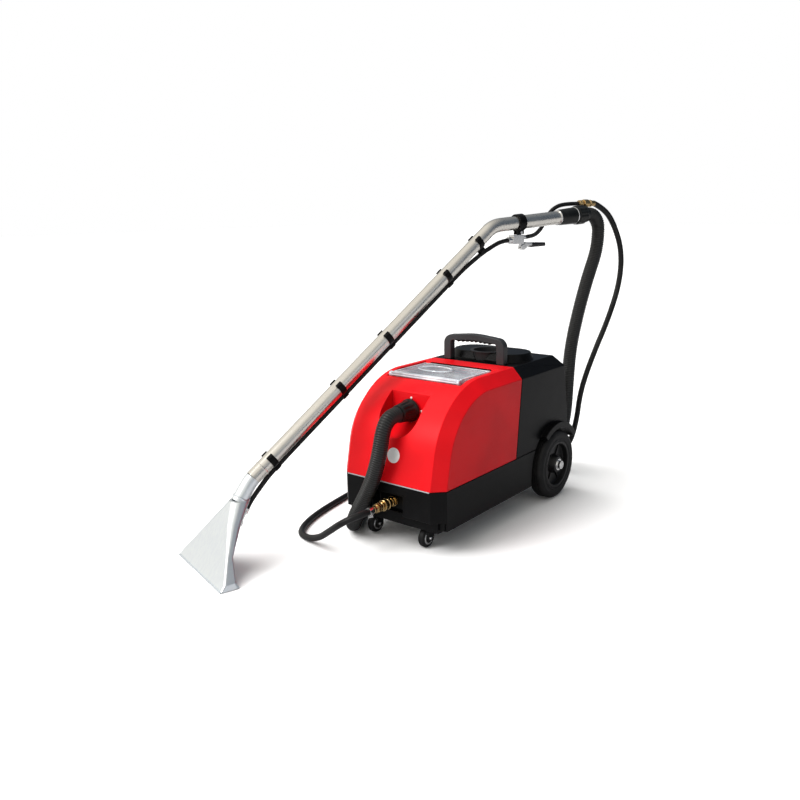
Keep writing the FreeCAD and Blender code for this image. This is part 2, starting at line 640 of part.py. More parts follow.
def make_axle():
    node("rear_axle", rod("axle_radius", "2 * axle_half", ("-axle_half", "axle_y", "wheel_radius"), "x"))
    outer = "wheel_inner + wheel_width + washer_gap"
    spacer = "wheel_inner - washer_gap - arch_inner"
    stacks = (
        ("washer_radius", outer, "washer_thick"),
        ("washer_radius", f"-({outer}) - washer_thick", "washer_thick"),
        ("washer_radius", "arch_inner", spacer), ("washer_radius", "washer_gap - wheel_inner", spacer),
    )
    discs = [ring(radius, "axle_radius", length, (x, "axle_y", "wheel_radius"), "x")
             for radius, x, length in stacks]
    for x in (f"{outer} + washer_thick", f"-({outer}) - washer_thick - nut_length"):
        discs.append(ring("nut_radius", "axle_radius", "nut_length", (x, "axle_y", "wheel_radius"), "x"))
    node("axle_washers_and_nuts", group(*discs))


def caster_fork(x):
    """Two side plates trailing from a crown, with the kingpin above and the wheel's pin riveted in."""
    back = "caster_y + 17"
    front = "caster_y - caster_trail"
    side = (
        (f"{front} - 9", "16"), (f"{front} + 9", "16"), (back, "fork_crown"), (back, "race_bottom - 0.5"),
        ("caster_y - 17", "race_bottom - 0.5"), ("caster_y - 17", "fork_crown"), (f"{front} - 9", "30"),
    )
    outer = "fork_inner + fork_plate"
    whole = prism("YZ", side, f"{x} - ({outer})", f"{x} + {outer}")
    gap = slab((f"{x} - fork_inner", f"{x} + fork_inner"), ("caster_y - 60", "caster_y + 30"),
               ("0", "fork_crown"))
    kingpin = rod("kingpin", "12", (x, "caster_y", "race_bottom - 1"))
    half_pin = f"{outer} + 2"
    pin = rod("caster_pin", f"2 * ({half_pin})", (f"{x} - ({half_pin})", front, "caster_radius"), "x")
    return fuse(cut(whole, gap), kingpin, pin)


def make_casters():
    front = "caster_y - caster_trail"
    mounts = []
    for side, x in (("right", "caster_x"), ("left", "-caster_x")):
        plate = slab((f"{x} - mount_half", f"{x} + mount_half"),
                     ("caster_y - mount_half", "caster_y + mount_half"),
                     ("tray_plate - mount_thick", "tray_plate"))
        race = rod("race_radius", "tray_plate - race_bottom - 1", (x, "caster_y", "race_bottom"))
        bore = rod("kingpin + running", "13", (x, "caster_y", "race_bottom - 1"))
        mounts.append(cut(fuse(plate, race), bore))
        node(f"caster_fork_{side}", caster_fork(x))
        tyre = (
            ("-caster_half", "caster_hub"), ("-caster_half", "caster_radius - 3"),
            ("3 - caster_half", "caster_radius"),
            ("caster_half - 3", "caster_radius"), ("caster_half", "caster_radius - 3"),
            ("caster_half", "caster_hub"),
        )
        hub = (
            ("-caster_half", "caster_pin + running"), ("-caster_half", "8"), ("2 - caster_half", "9"),
            ("2 - caster_half", "caster_hub"), ("caster_half - 2", "caster_hub"),
            ("caster_half - 2", "9"),
            ("caster_half", "8"), ("caster_half", "caster_pin + running"),
        )
        node(f"caster_tyre_{side}", spun(tyre, (x, front, "caster_radius")))
        node(f"caster_hub_{side}", spun(hub, (x, front, "caster_radius")))
    node("caster_mounts", group(*mounts))


# ---- inside the body ------------------------------------------------------------------------

def make_motor():
    low = "floor_top"
    can = rod("motor_radius", "motor_top - floor_top", ("0", "motor_y", low))
    hollow = rod("motor_radius - wall", "motor_top - floor_top - 2 * wall",
                 ("0", "motor_y", "floor_top + wall"))
    bearing = rod("rotor_shaft + running", "200", ("0", "motor_y", "floor_top - 5"))
    vents = []
    for number in range(4):
        turned = Rotation(Vector(0, 0, 1), 45 + 90 * number).multVec(Vector(S.motor_radius, 0, 0))
        vents.append(rod("12", "10", (f"{turned.x}", f"motor_y + {turned.y} - 5", "motor_top - 40"), "y"))
    node("vacuum_motor", cut(can, hollow, bearing, *vents))
    node("motor_rotor", fuse(
        rod("rotor_shaft", "motor_top - floor_top - 1", ("0", "motor_y", "floor_top + 0.5")),
        rod("armature_radius", "50", ("0", "motor_y", "floor_top + 60")),
        rod("fan_radius", "14", ("0", "motor_y", "floor_top + 20")),
    ))


def make_pump():
    block = slab(("pump_x - pump_half", "pump_x + pump_half"), ("pump_front", "pump_rear"),
                 ("floor_top", "pump_top"))
    can = rod("pump_motor", "pump_motor_length", ("pump_x", "pump_rear", "118"), "y")
    node("solution_pump", fuse(block, can))
    lines = [tube(name, route, S.line_outer, S.line_inner)
             for name, route in (("outlet line", PUMP_ROUTE), ("feed line", FEED_ROUTE))]
    node("inner_lines", group(*lines))


def inlet_screw_places():
    reach = 31
    return [(f"{reach * math.cos(math.radians(angle)):.3f}",
             f"inlet_height + {reach * math.sin(math.radians(angle)):.3f}")
            for angle in (0, 90, 180, 270)]


def make_inlet():
    centre = "inlet_height"
    flange = fuse(
        rod("38", "6", ("0", "scoop_back + wall", centre), "y"),
        rod("inlet_bore", "wall + 8", ("0", "scoop_back - 8", centre), "y"),
        rod("inlet_bore", "26", ("0", "scoop_back + wall", centre), "y"),
    )
    throat = rod("hose_bore - 1", "80", ("0", "scoop_back - 10", centre), "y")
    shield = slab(("-26", "26"), ("scoop_back + wall + 26", "scoop_back + wall + 29"),
                  (f"{centre} - 26", f"{centre} + 19"))
    holes = [rod("1.5", "20", (x, "scoop_back", z), "y") for x, z in inlet_screw_places()]
    open_side = slab(("-30", "30"), ("scoop_back + wall + 10", "scoop_back + wall + 26"),
                     (f"{centre} - 30", f"{centre} - 6"))
    node("inlet_flange", fuse(cut(flange, throat, open_side, *holes), shield))
    screws = []
    for x, z in inlet_screw_places():
        screws.append(fuse(
            rod("1.5", "13", (x, "scoop_back - 1", z), "y"),
            rod("3.2", "2", (x, "scoop_back - 2", z), "y"),
        ))
    node("inlet_screws", group(*screws))
    length = "cuff_start - cuff_end"
    cuff = (
        ("0", "inlet_bore"), ("0", "30"), ("6", "30"), ("9", "27"), (f"{length} - 4", "22.5"),
        (length, "21"),
        (length, "hose_bore"), ("12", "hose_bore"), ("12", "inlet_bore"),
    )
    node("front_cuff", spun(cuff, ("0", "cuff_start", centre), Rotation(Vector(0, 0, 1), -90)))


def make_standpipe():
    """The pipe that carries air down to the motor, with the float's cage moulded on its top."""
    at = ("stand_x", "stand_y")
    pipe = ring("stand_radius", "stand_radius - 2", "stand_top - base_top", (*at, "base_top"))
    cage = cut(
        rod("cage_radius", "cage_top - stand_top", (*at, "stand_top")),
        rod("cage_radius - 2.5", "cage_top - stand_top - 6", (*at, "stand_top + 3")),
        rod("12", "10", (*at, "stand_top - 5")),
        slab(("stand_x - 8", "stand_x + 8"), ("stand_y - 40", "stand_y + 40"),
             ("stand_top + 8", "cage_top - 10")),
        slab(("stand_x - 40", "stand_x + 40"), ("stand_y - 8", "stand_y + 8"),
             ("stand_top + 8", "cage_top - 10")),
    )
    node("suction_standpipe", fuse(pipe, cage))
    node("float_ball", ball("float_radius", (*at, "float_z")))


def switch_window(number, start, end):
    x = f"switch_first + {number} * switch_pitch"
    half = "rocker_half + rocker_gap"
    tall = "rocker_tall + rocker_gap"
    return slab((f"{x} - ({half})", f"{x} + {half}"), (start, end),
                (f"switch_z - ({tall})", f"switch_z + {tall}"))


def make_rear_panel():
    plate = slab(("plate_left", "plate_right"), ("base_rear", "base_rear + plate_thick"),
                 ("plate_low", "plate_high"))
    windows = [switch_window(number, "base_rear - 1", "base_rear + plate_thick + 1")
               for number in range(2)]
    node("switch_plate", cut(plate, *windows))
    for number, name in enumerate(("vacuum_switch", "pump_switch")):
        rocker = fuse(
            prism("YZ", (
                ("-5", "-rocker_tall"), ("7", "-rocker_tall"), ("4", "0"), ("7", "rocker_tall"),
                ("-5", "rocker_tall"),
            ), "-rocker_half", "rocker_half"),
            rod("2", "2 * rocker_half + 2.4", ("-rocker_half - 1.2", "0", "0"), "x"),
        )
        at = (f"switch_first + {number} * switch_pitch", "base_rear", "switch_z")
        node(name, put(rocker, at, Rotation(Vector(1, 0, 0), 7)))
    gland = (
        ("-9", "2.5"), ("-9", "5"), ("0", "5"), ("0", "11"), ("6", "11"), ("8", "9.5"), ("16", "8"),
        ("16", "2.5"),
    )
    node("cable_gland", spun(gland, ("gland_x", "base_rear", "gland_z"), Rotation(Vector(0, 0, 1), 90)))
    body = (
        ("-9", "6"), ("-9", "8"), ("0", "8"), ("0", "12"), ("8", "12"), ("10", "drain_radius"),
        ("30", "drain_radius"),
        ("32", "12"), ("drain_length", "12"), ("drain_length", "6"),
    )
    stem_at = ("drain_x", "base_rear + 20", "drain_z + 5")
    valve = spun(body, ("drain_x", "base_rear", "drain_z"), Rotation(Vector(0, 0, 1), 90))
    node("drain_valve", cut(valve, rod("4 + running", "20", stem_at)))
    lever = fuse(
        rod("4", "16", stem_at), rod("8", "4", ("drain_x", "base_rear + 20", "drain_z + 17")),
        slab(("drain_x - 56", "drain_x"), ("base_rear + 14", "base_rear + 26"),
             ("drain_z + 17", "drain_z + 20")),
    )
    node("drain_lever", lever)


# ---- front coupling and badge ---------------------------------------------------------------

def along_front(points):
    """A turned piece whose X axis points out of the front, from the port's back wall."""
    return spun(points, ("0", "port_depth", "couple_z"), Rotation(Vector(0, 0, 1), -90))


def make_coupling():
    socket = (
        ("-8", "3"), ("-8", "couple_stud"), ("0", "couple_stud"), ("0", "14"), ("8", "14"), ("8", "9"),
        ("14", "9"),
        ("14", "12"), ("20", "12"), ("20", "couple_body"), ("50", "couple_body"), ("50", "7"),
        ("30", "7"), ("30", "3"),
    )
    node("outlet_socket", along_front(socket))
    bore = "couple_body + running"
    sleeve = (
        ("28", bore), ("28", "couple_sleeve - 1"), ("30", "couple_sleeve"), ("34", "couple_sleeve"),
        ("35", "couple_sleeve - 1.5"), ("42", "couple_sleeve - 1.5"), ("43", "couple_sleeve"),
        ("47", "couple_sleeve"), ("49", "couple_sleeve - 1"), ("49", bore),
    )
    node("coupler_sleeve", along_front(sleeve))
    plug = (
        ("32", "3"), ("32", "6.9"), ("51", "6.9"), ("51", "10"), ("60", "10"), ("60", "13"), ("72", "13"),
        ("74", "9"),
        ("86", "9"), ("86", "4.9"), ("106", "4.9"), ("106", "3"),
    )
    node("coupler_plug", along_front(plug))
    clamp = (("90", "line_radius"), ("90", "11"), ("104", "11"), ("104", "line_radius"))
    node("front_hose_clamp", along_front(clamp))
    badge = rod("badge_radius", "badge_thick + 2", ("0", "0", "0"), "y")
    lean = math.degrees(math.atan2(S.shell_lean, S.shell_top - S.base_top - S.seam))
    disc = cut(badge, slab(("-40", "40"), ("badge_thick", "40"), ("-40", "40")))
    height = 235.0
    depth = (height - S.base_top - S.seam) * math.tan(math.radians(lean))
    slope = math.radians(lean)
    at = ("badge_x", f"{depth - S.badge_thick * math.cos(slope)}",
          f"{height + S.badge_thick * math.sin(slope)}")
    node("front_badge", put(disc, at, Rotation(Vector(1, 0, 0), -lean)))


# ---- wand -----------------------------------------------------------------------------------

def head_section(body, height, middle, half, depth, corner, inset):
    """One level section of the floor head: a rounded rectangle."""
    sketch = new_sketch(body, "XY", f"{height}")
    half = half - inset
    depth = depth - inset
    corner = corner - inset
    centres = ((half - corner, depth - corner, 0), (corner - half, depth - corner, 90),
               (corner - half, corner - depth, 180), (half - corner, corner - depth, 270))
    arcs = []
    for x, y, start in centres:
        circle = Part.Circle(Vector(x, middle + y), Vector(0, 0, 1), corner)
        arcs.append(Part.ArcOfCircle(circle, math.radians(start), math.radians(start + 90)))
    for first, second in zip(arcs, arcs[1:] + arcs[:1]):
        sketch.addGeometry(first, False)
        sketch.addGeometry(Part.LineSegment(first.EndPoint, second.StartPoint), False)
    return sketch


def make_head():
    """The floor head: a flared mouth, a thin waist and a round throat, lofted level by level."""
    levels = (
        (0, 22.5, S.head_half, S.head_depth, 5), (14, 26, S.head_half - 2, 15, 5),
        (58, 44, 93, 8.5, 5), (112, 80, 52, 17, 14), (158, 116, 20.6, 25, 20.3),
    )
    body = new_body()
    for kind, inset, reach in (("AdditiveLoft", 0, 0), ("SubtractiveLoft", S.head_wall, 1)):
        for low, high in zip(levels, levels[1:]):
            start = low[0] - (reach if low is levels[0] else 0)
            end = high[0] + (reach if high is levels[-1] else 0)
            loft = body.newObject("PartDesign::" + kind, kind)
            loft.Profile = head_section(body, start, *low[1:], inset)
            loft.Sections = [head_section(body, end, *high[1:], inset)]
    node("floor_head", body, wand=True)


def pipe_body(points, radius, bore, bend):
    """A round tube along straight runs with one bend size, in the wand's own upright plane."""
    body = new_body()
    spine = new_sketch(body, "YZ")
    stops = [Vector(*point) for point in points]
    last = stops[0]
    for before, corner, after in zip(stops, stops[1:], stops[2:]):
        inward = (corner - before).normalize()
        outward = (after - corner).normalize()
        half_turn = inward.getAngle(outward) / 2
        reach = bend * math.tan(half_turn)
        side = (outward - inward).normalize()
        start = corner - inward * reach
        finish = corner + outward * reach
        middle = corner + side * (bend / math.cos(half_turn) - bend)
        spine.addGeometry(Part.LineSegment(last, start), False)
        spine.addGeometry(Part.Arc(start, middle, finish), False)
        last = finish
    spine.addGeometry(Part.LineSegment(last, stops[-1]), False)
    ends = body.newObject("Sketcher::SketchObject", "Section")
    ends.AttachmentSupport = [(spine, "Edge1")]
    ends.MapMode = "NormalToEdge"
    ends.MapPathParameter = 0.0
    for number, size in enumerate((radius, bore)):
        ends.addGeometry(Part.Circle(Vector(), Vector(0, 0, 1), 10.0 + number), False)
        index = ends.addConstraint(Sketcher.Constraint("Radius", number, 10.0 + number))
        ends.addConstraint(Sketcher.Constraint("Coincident", number, 3, -1, 1))
        ends.setExpression(f"Constraints[{index}]", cell(size))
    pipe = body.newObject("PartDesign::AdditivePipe", "Pipe")
    pipe.Profile = ends
    pipe.Spine = (spine, [])
    return body


def make_tubes():
    bore = "tube_radius - tube_wall"
    foot = (S.foot_s, S.foot_z)
    slope = (S.elbow_z - S.foot_z) / (S.elbow_s - S.foot_s)
    joint = (foot[0] + 2, foot[1] + 2 * slope)
    neck = ((S.neck_s, S.neck_z), (S.foot_s - 8, S.foot_z - 8 * slope - 2), joint)
    node("wand_neck", pipe_body(neck, "tube_radius", bore, 20.0), wand=True)
    path = (joint, (S.elbow_s, S.elbow_z), (S.tube_end_s, S.tube_end_z))
    node("wand_tube", pipe_body(path, "tube_radius", bore, S.elbow_round), wand=True)


def lean_turn(rise):
    """Turn a piece's Z axis into the wand's upright plane, rise degrees above the level."""
    return Rotation(Vector(1, 0, 0), rise - 90)


def tube_rise():
    return math.degrees(math.atan2(S.elbow_z - S.foot_z, S.elbow_s - S.foot_s))


def handle_rise():
    return math.degrees(math.atan2(S.tube_end_z - S.elbow_z, S.tube_end_s - S.elbow_s))


def on_tube(along):
    slope = (S.elbow_z - S.foot_z) / (S.elbow_s - S.foot_s)
    return Vector(0, along, S.foot_z + slope * (along - S.foot_s))


def on_handle(along):
    slope = (S.tube_end_z - S.elbow_z) / (S.tube_end_s - S.elbow_s)
    return Vector(0, along, S.elbow_z + slope * (along - S.elbow_s))


def posed(piece, point, turn):
    whole = group(piece)
    return put(whole, (f"{point.x}", f"{point.y}", f"{point.z}"), turn)


def make_bands():
    bands = []
    outer = "tube_radius + band_thick"
    low = ("0", "0", "-band_width / 2")
    clip = ("0", "clip_drop", "-band_width / 2")
    for along in (201, 399, 545, 738, 848):
        strap = cut(
            fuse(rod(outer, "band_width", low), rod("spray_radius + band_thick", "band_width", clip)),
            rod("tube_radius", "band_width", low), rod("spray_radius", "band_width", clip),
        )
        bands.append(posed(strap, on_tube(along), lean_turn(tube_rise())))
    node("hose_bands", group(*bands), wand=True)


def make_spray_line():
    node("pressure_hose", tube("pressure_hose", PRESSURE_ROUTE, 6.0, 3.5), wand=True)
    pipe = pipe_body(((157.3, 163.2), (140, 144), (112, 96)), "3.5", "2", 18.0)
    nozzle = fuse(rod("6", "10", ("0", "0", "-8")), cone("6", "3", "5", ("0", "0", "2")))
    jet = posed(nozzle, Vector(0, 112, 96), Rotation(Vector(1, 0, 0), 150))
    node("spray_jet", fuse(pipe, jet), wand=True)


def make_valve():
    turn = lean_turn(handle_rise())
    place = on_handle(1001)
    collar = cut(
        fuse(rod("24", "24", ("0", "0", "-12")), slab(("-9", "9"), ("18", "32"), ("-12", "12"))),
        rod("tube_radius", "24", ("0", "0", "-12")),
        slab(("-3", "3"), ("15", "40"), ("-13", "13")),
        rod("2.5", "40", ("-20", "27", "0"), "x"),
    )
    node("valve_clamp", posed(collar, place, turn), wand=True)
    bolt = fuse(
        rod("2.5", "24", ("-12", "27", "0"), "x"), rod("4", "3", ("9", "27", "0"), "x"),
        rod("4", "3", ("-12", "27", "0"), "x"),
    )
    bolt = posed(bolt, place, turn)
    place += turn.multVec(Vector(0, 27, 0))
    solids = (
        slab(("-11", "11"), ("974", "1014"), ("724", "749")),
        slab(("-2.95", "2.95"), ("996", "1010"), ("745", "760")),
        rod("9", "16", ("0", "960", "735"), "y"),
        rod("6", "20", ("0", "1006", "742"), "y"),
        slab(("-4", "4"), ("1006", "1026"), ("714.5", "728")),
    )
    bores = (
        rod("2.5", "40", ("-20", f"{place.y}", f"{place.z}"), "x"),
        rod("2 + running", "30", ("-15", "1020", "719"), "x"),
        rod("3", "42", ("0", "959", "735"), "y"),
        rod("3", "40", ("0", "990", "742"), "y"),
    )
    node("valve_body", cut(fuse(*solids), *bores), wand=True)
    node("valve_pins", group(bolt, rod("2", "20", ("-10", "1020", "719"), "x")), wand=True)
    profile = (
        ("1007", "708"), ("1018", "706"), ("1036", "718"), ("1090", "714"), ("1099", "717"),
        ("1097", "723"),
        ("1036", "727"), ("1026", "727"), ("1007", "717"),
    )
    lever = cut(
        prism("YZ", profile, "-8", "8"),
        slab(("-4.3", "4.3"), ("1000", "1030"), ("712.5", "740")),
        rod("2", "30", ("-15", "1020", "719"), "x"),
    )
    node("valve_lever", lever, wand=True)
    node("whip_hose", tube("whip_hose", WHIP_ROUTE, 6.0, 3.5), wand=True)


def along_handle(points, along):
    """A turned piece on the handle's own axis, starting at a place along it."""
    start = on_handle(along)
    turn = Rotation(Vector(0, 0, 1), 90) * Rotation(Vector(0, 1, 0), -handle_rise())
    return spun(points, (f"{start.x}", f"{start.y}", f"{start.z}"), turn)


def make_wand_cuff():
    bore = "tube_radius + running"
    cuff = (("0", bore), ("0", "21"), ("6", "22.5"), ("60", "24"), ("68", "24"), ("68", bore))
    node("wand_cuff", along_handle(cuff, 1156), wand=True)
    collar = (
        ("0", bore), ("0", "26"), ("4", "27.5"), ("32", "27.5"), ("36", "25"), ("46", "24"),
        ("46", "hose_radius + 0.3"), ("38", "hose_radius + 0.3"), ("38", "hose_bore"),
        ("32", "hose_bore"), ("32", bore),
    )
    node("swivel_collar", along_handle(collar, 1224.5), wand=True)
    at = ("-26", "1265", "832")
    out = Rotation(Vector(0, 0, 1), 90)
    coupler = (
        ("0", "3"), ("0", "8"), ("4", "10"), ("16", "10"), ("18", "8"), ("48", "8"), ("50", "10"),
        ("56", "10"),
        ("57", "8.5"), ("69", "8.5"), ("69", "3"),
    )
    node("wand_coupler", spun(coupler, at, out), wand=True)
    sleeve = (("22", "8.05"), ("22", "11"), ("24", "12"), ("40", "12"), ("42", "11"), ("42", "8.05"))
    node("wand_coupler_sleeve", spun(sleeve, at, out), wand=True)


def make_hoses():
    node("vacuum_hose", tube("vacuum_hose", VACUUM_ROUTE, S.hose_radius, S.hose_bore))
    node("solution_hose", tube("solution_hose", SOLUTION_ROUTE, S.line_radius, S.line_bore))


def check_and_write():
    doc.recompute()
    for thing in doc.Objects:
        if "Invalid" in thing.State or "Error" in thing.State:
            raise RuntimeError(f"{thing.Name} ({thing.Label}) failed: {thing.State}")
    for piece in nodes:
        if piece.Shape.isNull() or not piece.Shape.isValid() or not piece.Shape.Solids:
            raise RuntimeError(f"{piece.Label} has no valid solid")
    os.makedirs("parts", exist_ok=True)
    for piece in nodes:
        piece.Shape.exportStep(f"parts/{piece.Label}.step")
        box = piece.Shape.BoundBox
        print(f"{piece.Label:22s} {len(piece.Shape.Solids)} {piece.Shape.Volume / 1000:9.1f} cm3 "
              f"x {box.XMin:7.1f} {box.XMax:7.1f} y {box.YMin:7.1f} {box.YMax:7.1f} "
              f"z {box.ZMin:6.1f} {box.ZMax:6.1f}")


fill_sheet()
make_base()
make_tray()
make_recovery_tank()
make_lid()
make_solution_tank()
make_strainer()
make_handle()
make_wheels()
make_axle()
make_casters()
make_motor()
make_pump()
make_inlet()
make_standpipe()
make_rear_panel()
make_coupling()
make_head()
make_tubes()
make_bands()
make_spray_line()
make_valve()
make_wand_cuff()
make_hoses()
check_and_write()
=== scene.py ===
import json
import math

import bmesh
import bpy
from bpy.props import FloatProperty, FloatVectorProperty, IntProperty, PointerProperty
from bpy.types import Operator, Panel, PropertyGroup
from mathutils import Matrix, Vector


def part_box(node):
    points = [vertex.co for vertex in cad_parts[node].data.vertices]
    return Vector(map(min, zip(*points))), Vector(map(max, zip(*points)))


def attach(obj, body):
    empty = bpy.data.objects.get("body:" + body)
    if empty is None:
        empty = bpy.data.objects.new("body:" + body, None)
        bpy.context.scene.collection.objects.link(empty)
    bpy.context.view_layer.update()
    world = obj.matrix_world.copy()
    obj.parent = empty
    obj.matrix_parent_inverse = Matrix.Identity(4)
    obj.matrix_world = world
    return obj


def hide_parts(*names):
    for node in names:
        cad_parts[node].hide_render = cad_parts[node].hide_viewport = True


bl_info = {
    "name": "Carpet Cleaner",
    "version": (1, 0, 0),
    "blender": (4, 5, 0),
    "location": "View3D > Sidebar > Carpet Cleaner",
    "description": "Skins, hoses and finishes of a box carpet extractor with its floor wand",
    "category": "Object",
}

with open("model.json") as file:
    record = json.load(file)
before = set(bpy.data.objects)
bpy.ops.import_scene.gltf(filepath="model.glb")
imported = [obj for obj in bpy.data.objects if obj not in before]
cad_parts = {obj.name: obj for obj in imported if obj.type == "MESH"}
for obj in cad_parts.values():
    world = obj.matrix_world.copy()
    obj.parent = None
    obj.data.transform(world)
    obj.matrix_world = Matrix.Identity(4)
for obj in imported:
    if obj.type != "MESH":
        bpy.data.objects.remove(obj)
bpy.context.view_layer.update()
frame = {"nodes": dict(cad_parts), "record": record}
SLOT_OF = {part["node"]: part["material_slot"] for part in frame["record"]["subparts"]}
BODY_OF = {node: body for body, group in frame["record"]["behaviour"]["bodies"].items() for node in group}

MM = 0.001
BASE_LOW, BASE_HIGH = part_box("base_pan")
# The machine's own zero: the foot of the base's front, on the centre line, on the floor.
ORIGIN = Vector(((BASE_LOW.x + BASE_HIGH.x) / 2, BASE_LOW.y, 0.0))
# The front of the recovery tank leans back by this angle.
FRONT_LEAN = math.atan2(0.050, 0.411 - 0.1665)
# Heights of the hose inlet and of the solution coupling on the front, in millimetres.
INLET_HEIGHT, COUPLING_HEIGHT = 331, 110.5

# The wand's own zero is under its mouth; Y runs along the wand over the floor and Z is up.
WAND_PLACE, WAND_TURN = Vector((-0.253, -0.395, 0.001)), math.radians(-16.39)
WAND = Matrix.Translation(ORIGIN + WAND_PLACE) @ Matrix.Rotation(WAND_TURN, 4, "Z")
FOOT, ELBOW, TUBE_END = Vector((0, 0.150, 0.202)), Vector((0, 0.905, 0.7756)), Vector((0, 1.250, 0.7997))
# Radius of what slides on the tube, in millimetres.
TUBE_BORE = 19.05
# The pressure line's radius, and how far its middle lies under the tube's.
LINE_RADIUS, LINE_DROP = 0.006, 0.026
# Where the cuff, the swivel collar and the brass coupler start.
CUFF_START, COLLAR_START = 1.156, 1.2245
COUPLER_START = (-0.026, 1.265, 0.832)

# Free hoses, in metres from the machine's own zero or, for the whip, from the wand's.
VACUUM_ROUTE = (
    (0, .046, .331), (0, .022, .331), (0, 0, .318), (-.001, -.012, .294), (-.004, -.018, .256),
    (-.012, -.023, .212), (-.031, -.025, .160), (-.061, -.026, .106), (-.093, -.021, .058),
    (-.123, .004, .021), (-.160, .058, .0205), (-.194, .132, .0205), (-.222, .234, .0205),
    (-.240, .347, .0205), (-.242, .467, .0205), (-.226, .587, .0205), (-.182, .690, .0205),
    (-.100, .756, .0205), (0, .778, .038), (.062, .784, .092), (.080, .788, .190), (.084, .786, .290),
    (.090, .786, .400), (.104, .802, .510), (.113, .838, .610), (.120, .876, .686),
    (.1223, .8809, .730), (.1223, .8809, .7665), (.1186, .8685, .790), (.1119, .8464, .8036),
    (.1038, .8182, .8015),
)
SOLUTION_ROUTE = (
    (0, -.056, .1105), (0, -.086, .1105), (-.013, -.112, .106), (-.042, -.128, .088),
    (-.086, -.123, .056), (-.132, -.112, .024), (-.180, -.106, .0085), (-.220, -.094, .0085),
    (-.250, -.050, .0085), (-.273, .006, .0085), (-.291, .072, .0085), (-.306, .150, .0085),
    (-.322, .240, .0085), (-.336, .340, .0085), (-.338, .455, .0085), (-.324, .570, .0085),
    (-.284, .680, .0085), (-.206, .775, .0085), (-.108, .832, .0085), (-.010, .852, .014),
    (.062, .852, .062), (.090, .844, .150), (.102, .842, .260), (.120, .886, .370),
    (.140, .945, .480), (.154, .985, .590), (.152, .993, .690), (.132, .965, .775),
    (.112, .936, .817), (.0987, .8927, .833),
)
WHIP_ROUTE = (
    (0, 1.026, .742), (-.005, 1.054, .743), (-.020, 1.090, .748), (-.026, 1.120, .768),
    (-.027, 1.138, .796), (-.027, 1.164, .820), (-.026, 1.205, .832), (-.026, 1.265, .832),
)


def linear(red, green, blue):
    """A colour given as screen values of 0 to 255, in the renderer's linear values."""
    shares = (v / 255 for v in (red, green, blue))
    return tuple(((v + 0.055) / 1.055) ** 2.4 if v > 0.04 else v / 12.92 for v in shares)


def machine(*point):
    """A point given in millimetres from the machine's zero, in the frame's metres."""
    return ORIGIN + Vector(point) * MM


# ---- settings -------------------------------------------------------------------------------

def tint(name, description, default):
    """A colour that a user would change."""
    return FloatVectorProperty(name=name, description=description, subtype="COLOR", min=0, max=1,
                               default=default)


def span(name, description, default, **limits):
    """A length that a user would change."""
    return FloatProperty(name=name, description=description, subtype="DISTANCE", unit="LENGTH",
                         default=default, **limits)


class ShellSettings(PropertyGroup):
    """Colours and edges of the moulded shells."""
    red: tint("Tank red", "Colour of the recovery tank", linear(222, 14, 24))
    black: tint("Base black", "Colour of the base and the solution tank", linear(9, 9, 10))
    edge: span("Edge radius", "Rounding of the shells' moulded edges", 0.0022, min=0.0002, max=0.004)


class HoseSettings(PropertyGroup):
    """Sizes of the two free hoses."""
    vacuum_radius: span("Vacuum hose radius", "Radius over the hose's ribs", 0.0200)
    rib_pitch: span("Rib pitch", "Distance from one rib to the next", 0.0055)
    rib_depth: span("Rib depth", "How far the grooves lie under the ribs", 0.0026)
    solution_radius: span("Solution hose radius", "Radius of the smooth hose", 0.0085)


class WheelSettings(PropertyGroup):
    """Detail of the rear wheels."""
    ribs: IntProperty(name="Rim ribs", description="Ribs on each face of a wheel's rim", min=0, max=12,
                      default=6)
    tread_grooves: IntProperty(name="Tread grooves", description="Grooves round each tyre", min=0,
                               max=5, default=3)


class WandSettings(PropertyGroup):
    """Finish of the wand."""
    chrome: tint("Tube metal", "Reflected colour of the polished tube", (0.83, 0.80, 0.74))
    head: tint("Head metal", "Reflected colour of the floor head", (0.90, 0.95, 1.0))
    strap_gap: FloatProperty(name="Strap gap", description="Open angle at the top of each hose strap",
                             subtype="ANGLE", unit="ROTATION", default=math.radians(95))


class StageSettings(PropertyGroup):
    """Light and camera."""
    key: FloatProperty(name="Key light", description="Power of the large light in front", unit="POWER",
                       default=70.0)
    fill: FloatProperty(name="Fill light", description="Power of the light on the right", unit="POWER",
                        default=3.0)
    sun: FloatProperty(name="Overhead light", description="Strength of the broad light overhead",
                       default=3.0)
    lens: FloatProperty(name="Focal length", description="Camera's focal length in millimetres",
                        unit="CAMERA", default=36.2)


# ---- shader building ------------------------------------------------------------------------

class Value:
    """A shader socket on which arithmetic adds Math nodes."""

    def __init__(self, look, socket):
        self.look = look
        self.socket = socket

    def _math(self, operation, first, second):
        return self.look.node("ShaderNodeMath", {"operation": operation}, {0: first, 1: second})

    def __add__(self, other):
        return self._math("ADD", self, other)

    __radd__ = __add__

    def __sub__(self, other):
        return self._math("SUBTRACT", self, other)

    def __rsub__(self, other):
        return self._math("SUBTRACT", other, self)

    def __mul__(self, other):
        return self._math("MULTIPLY", self, other)

    __rmul__ = __mul__

    def __pow__(self, other):
        return self._math("POWER", self, other)

    def step(self, low, high):
        """0 under low, 1 over high, smooth between."""
        return self.look.node("ShaderNodeMapRange", {"interpolation_type": "SMOOTHSTEP"},
                              {"Value": self, "From Min": low, "From Max": high})


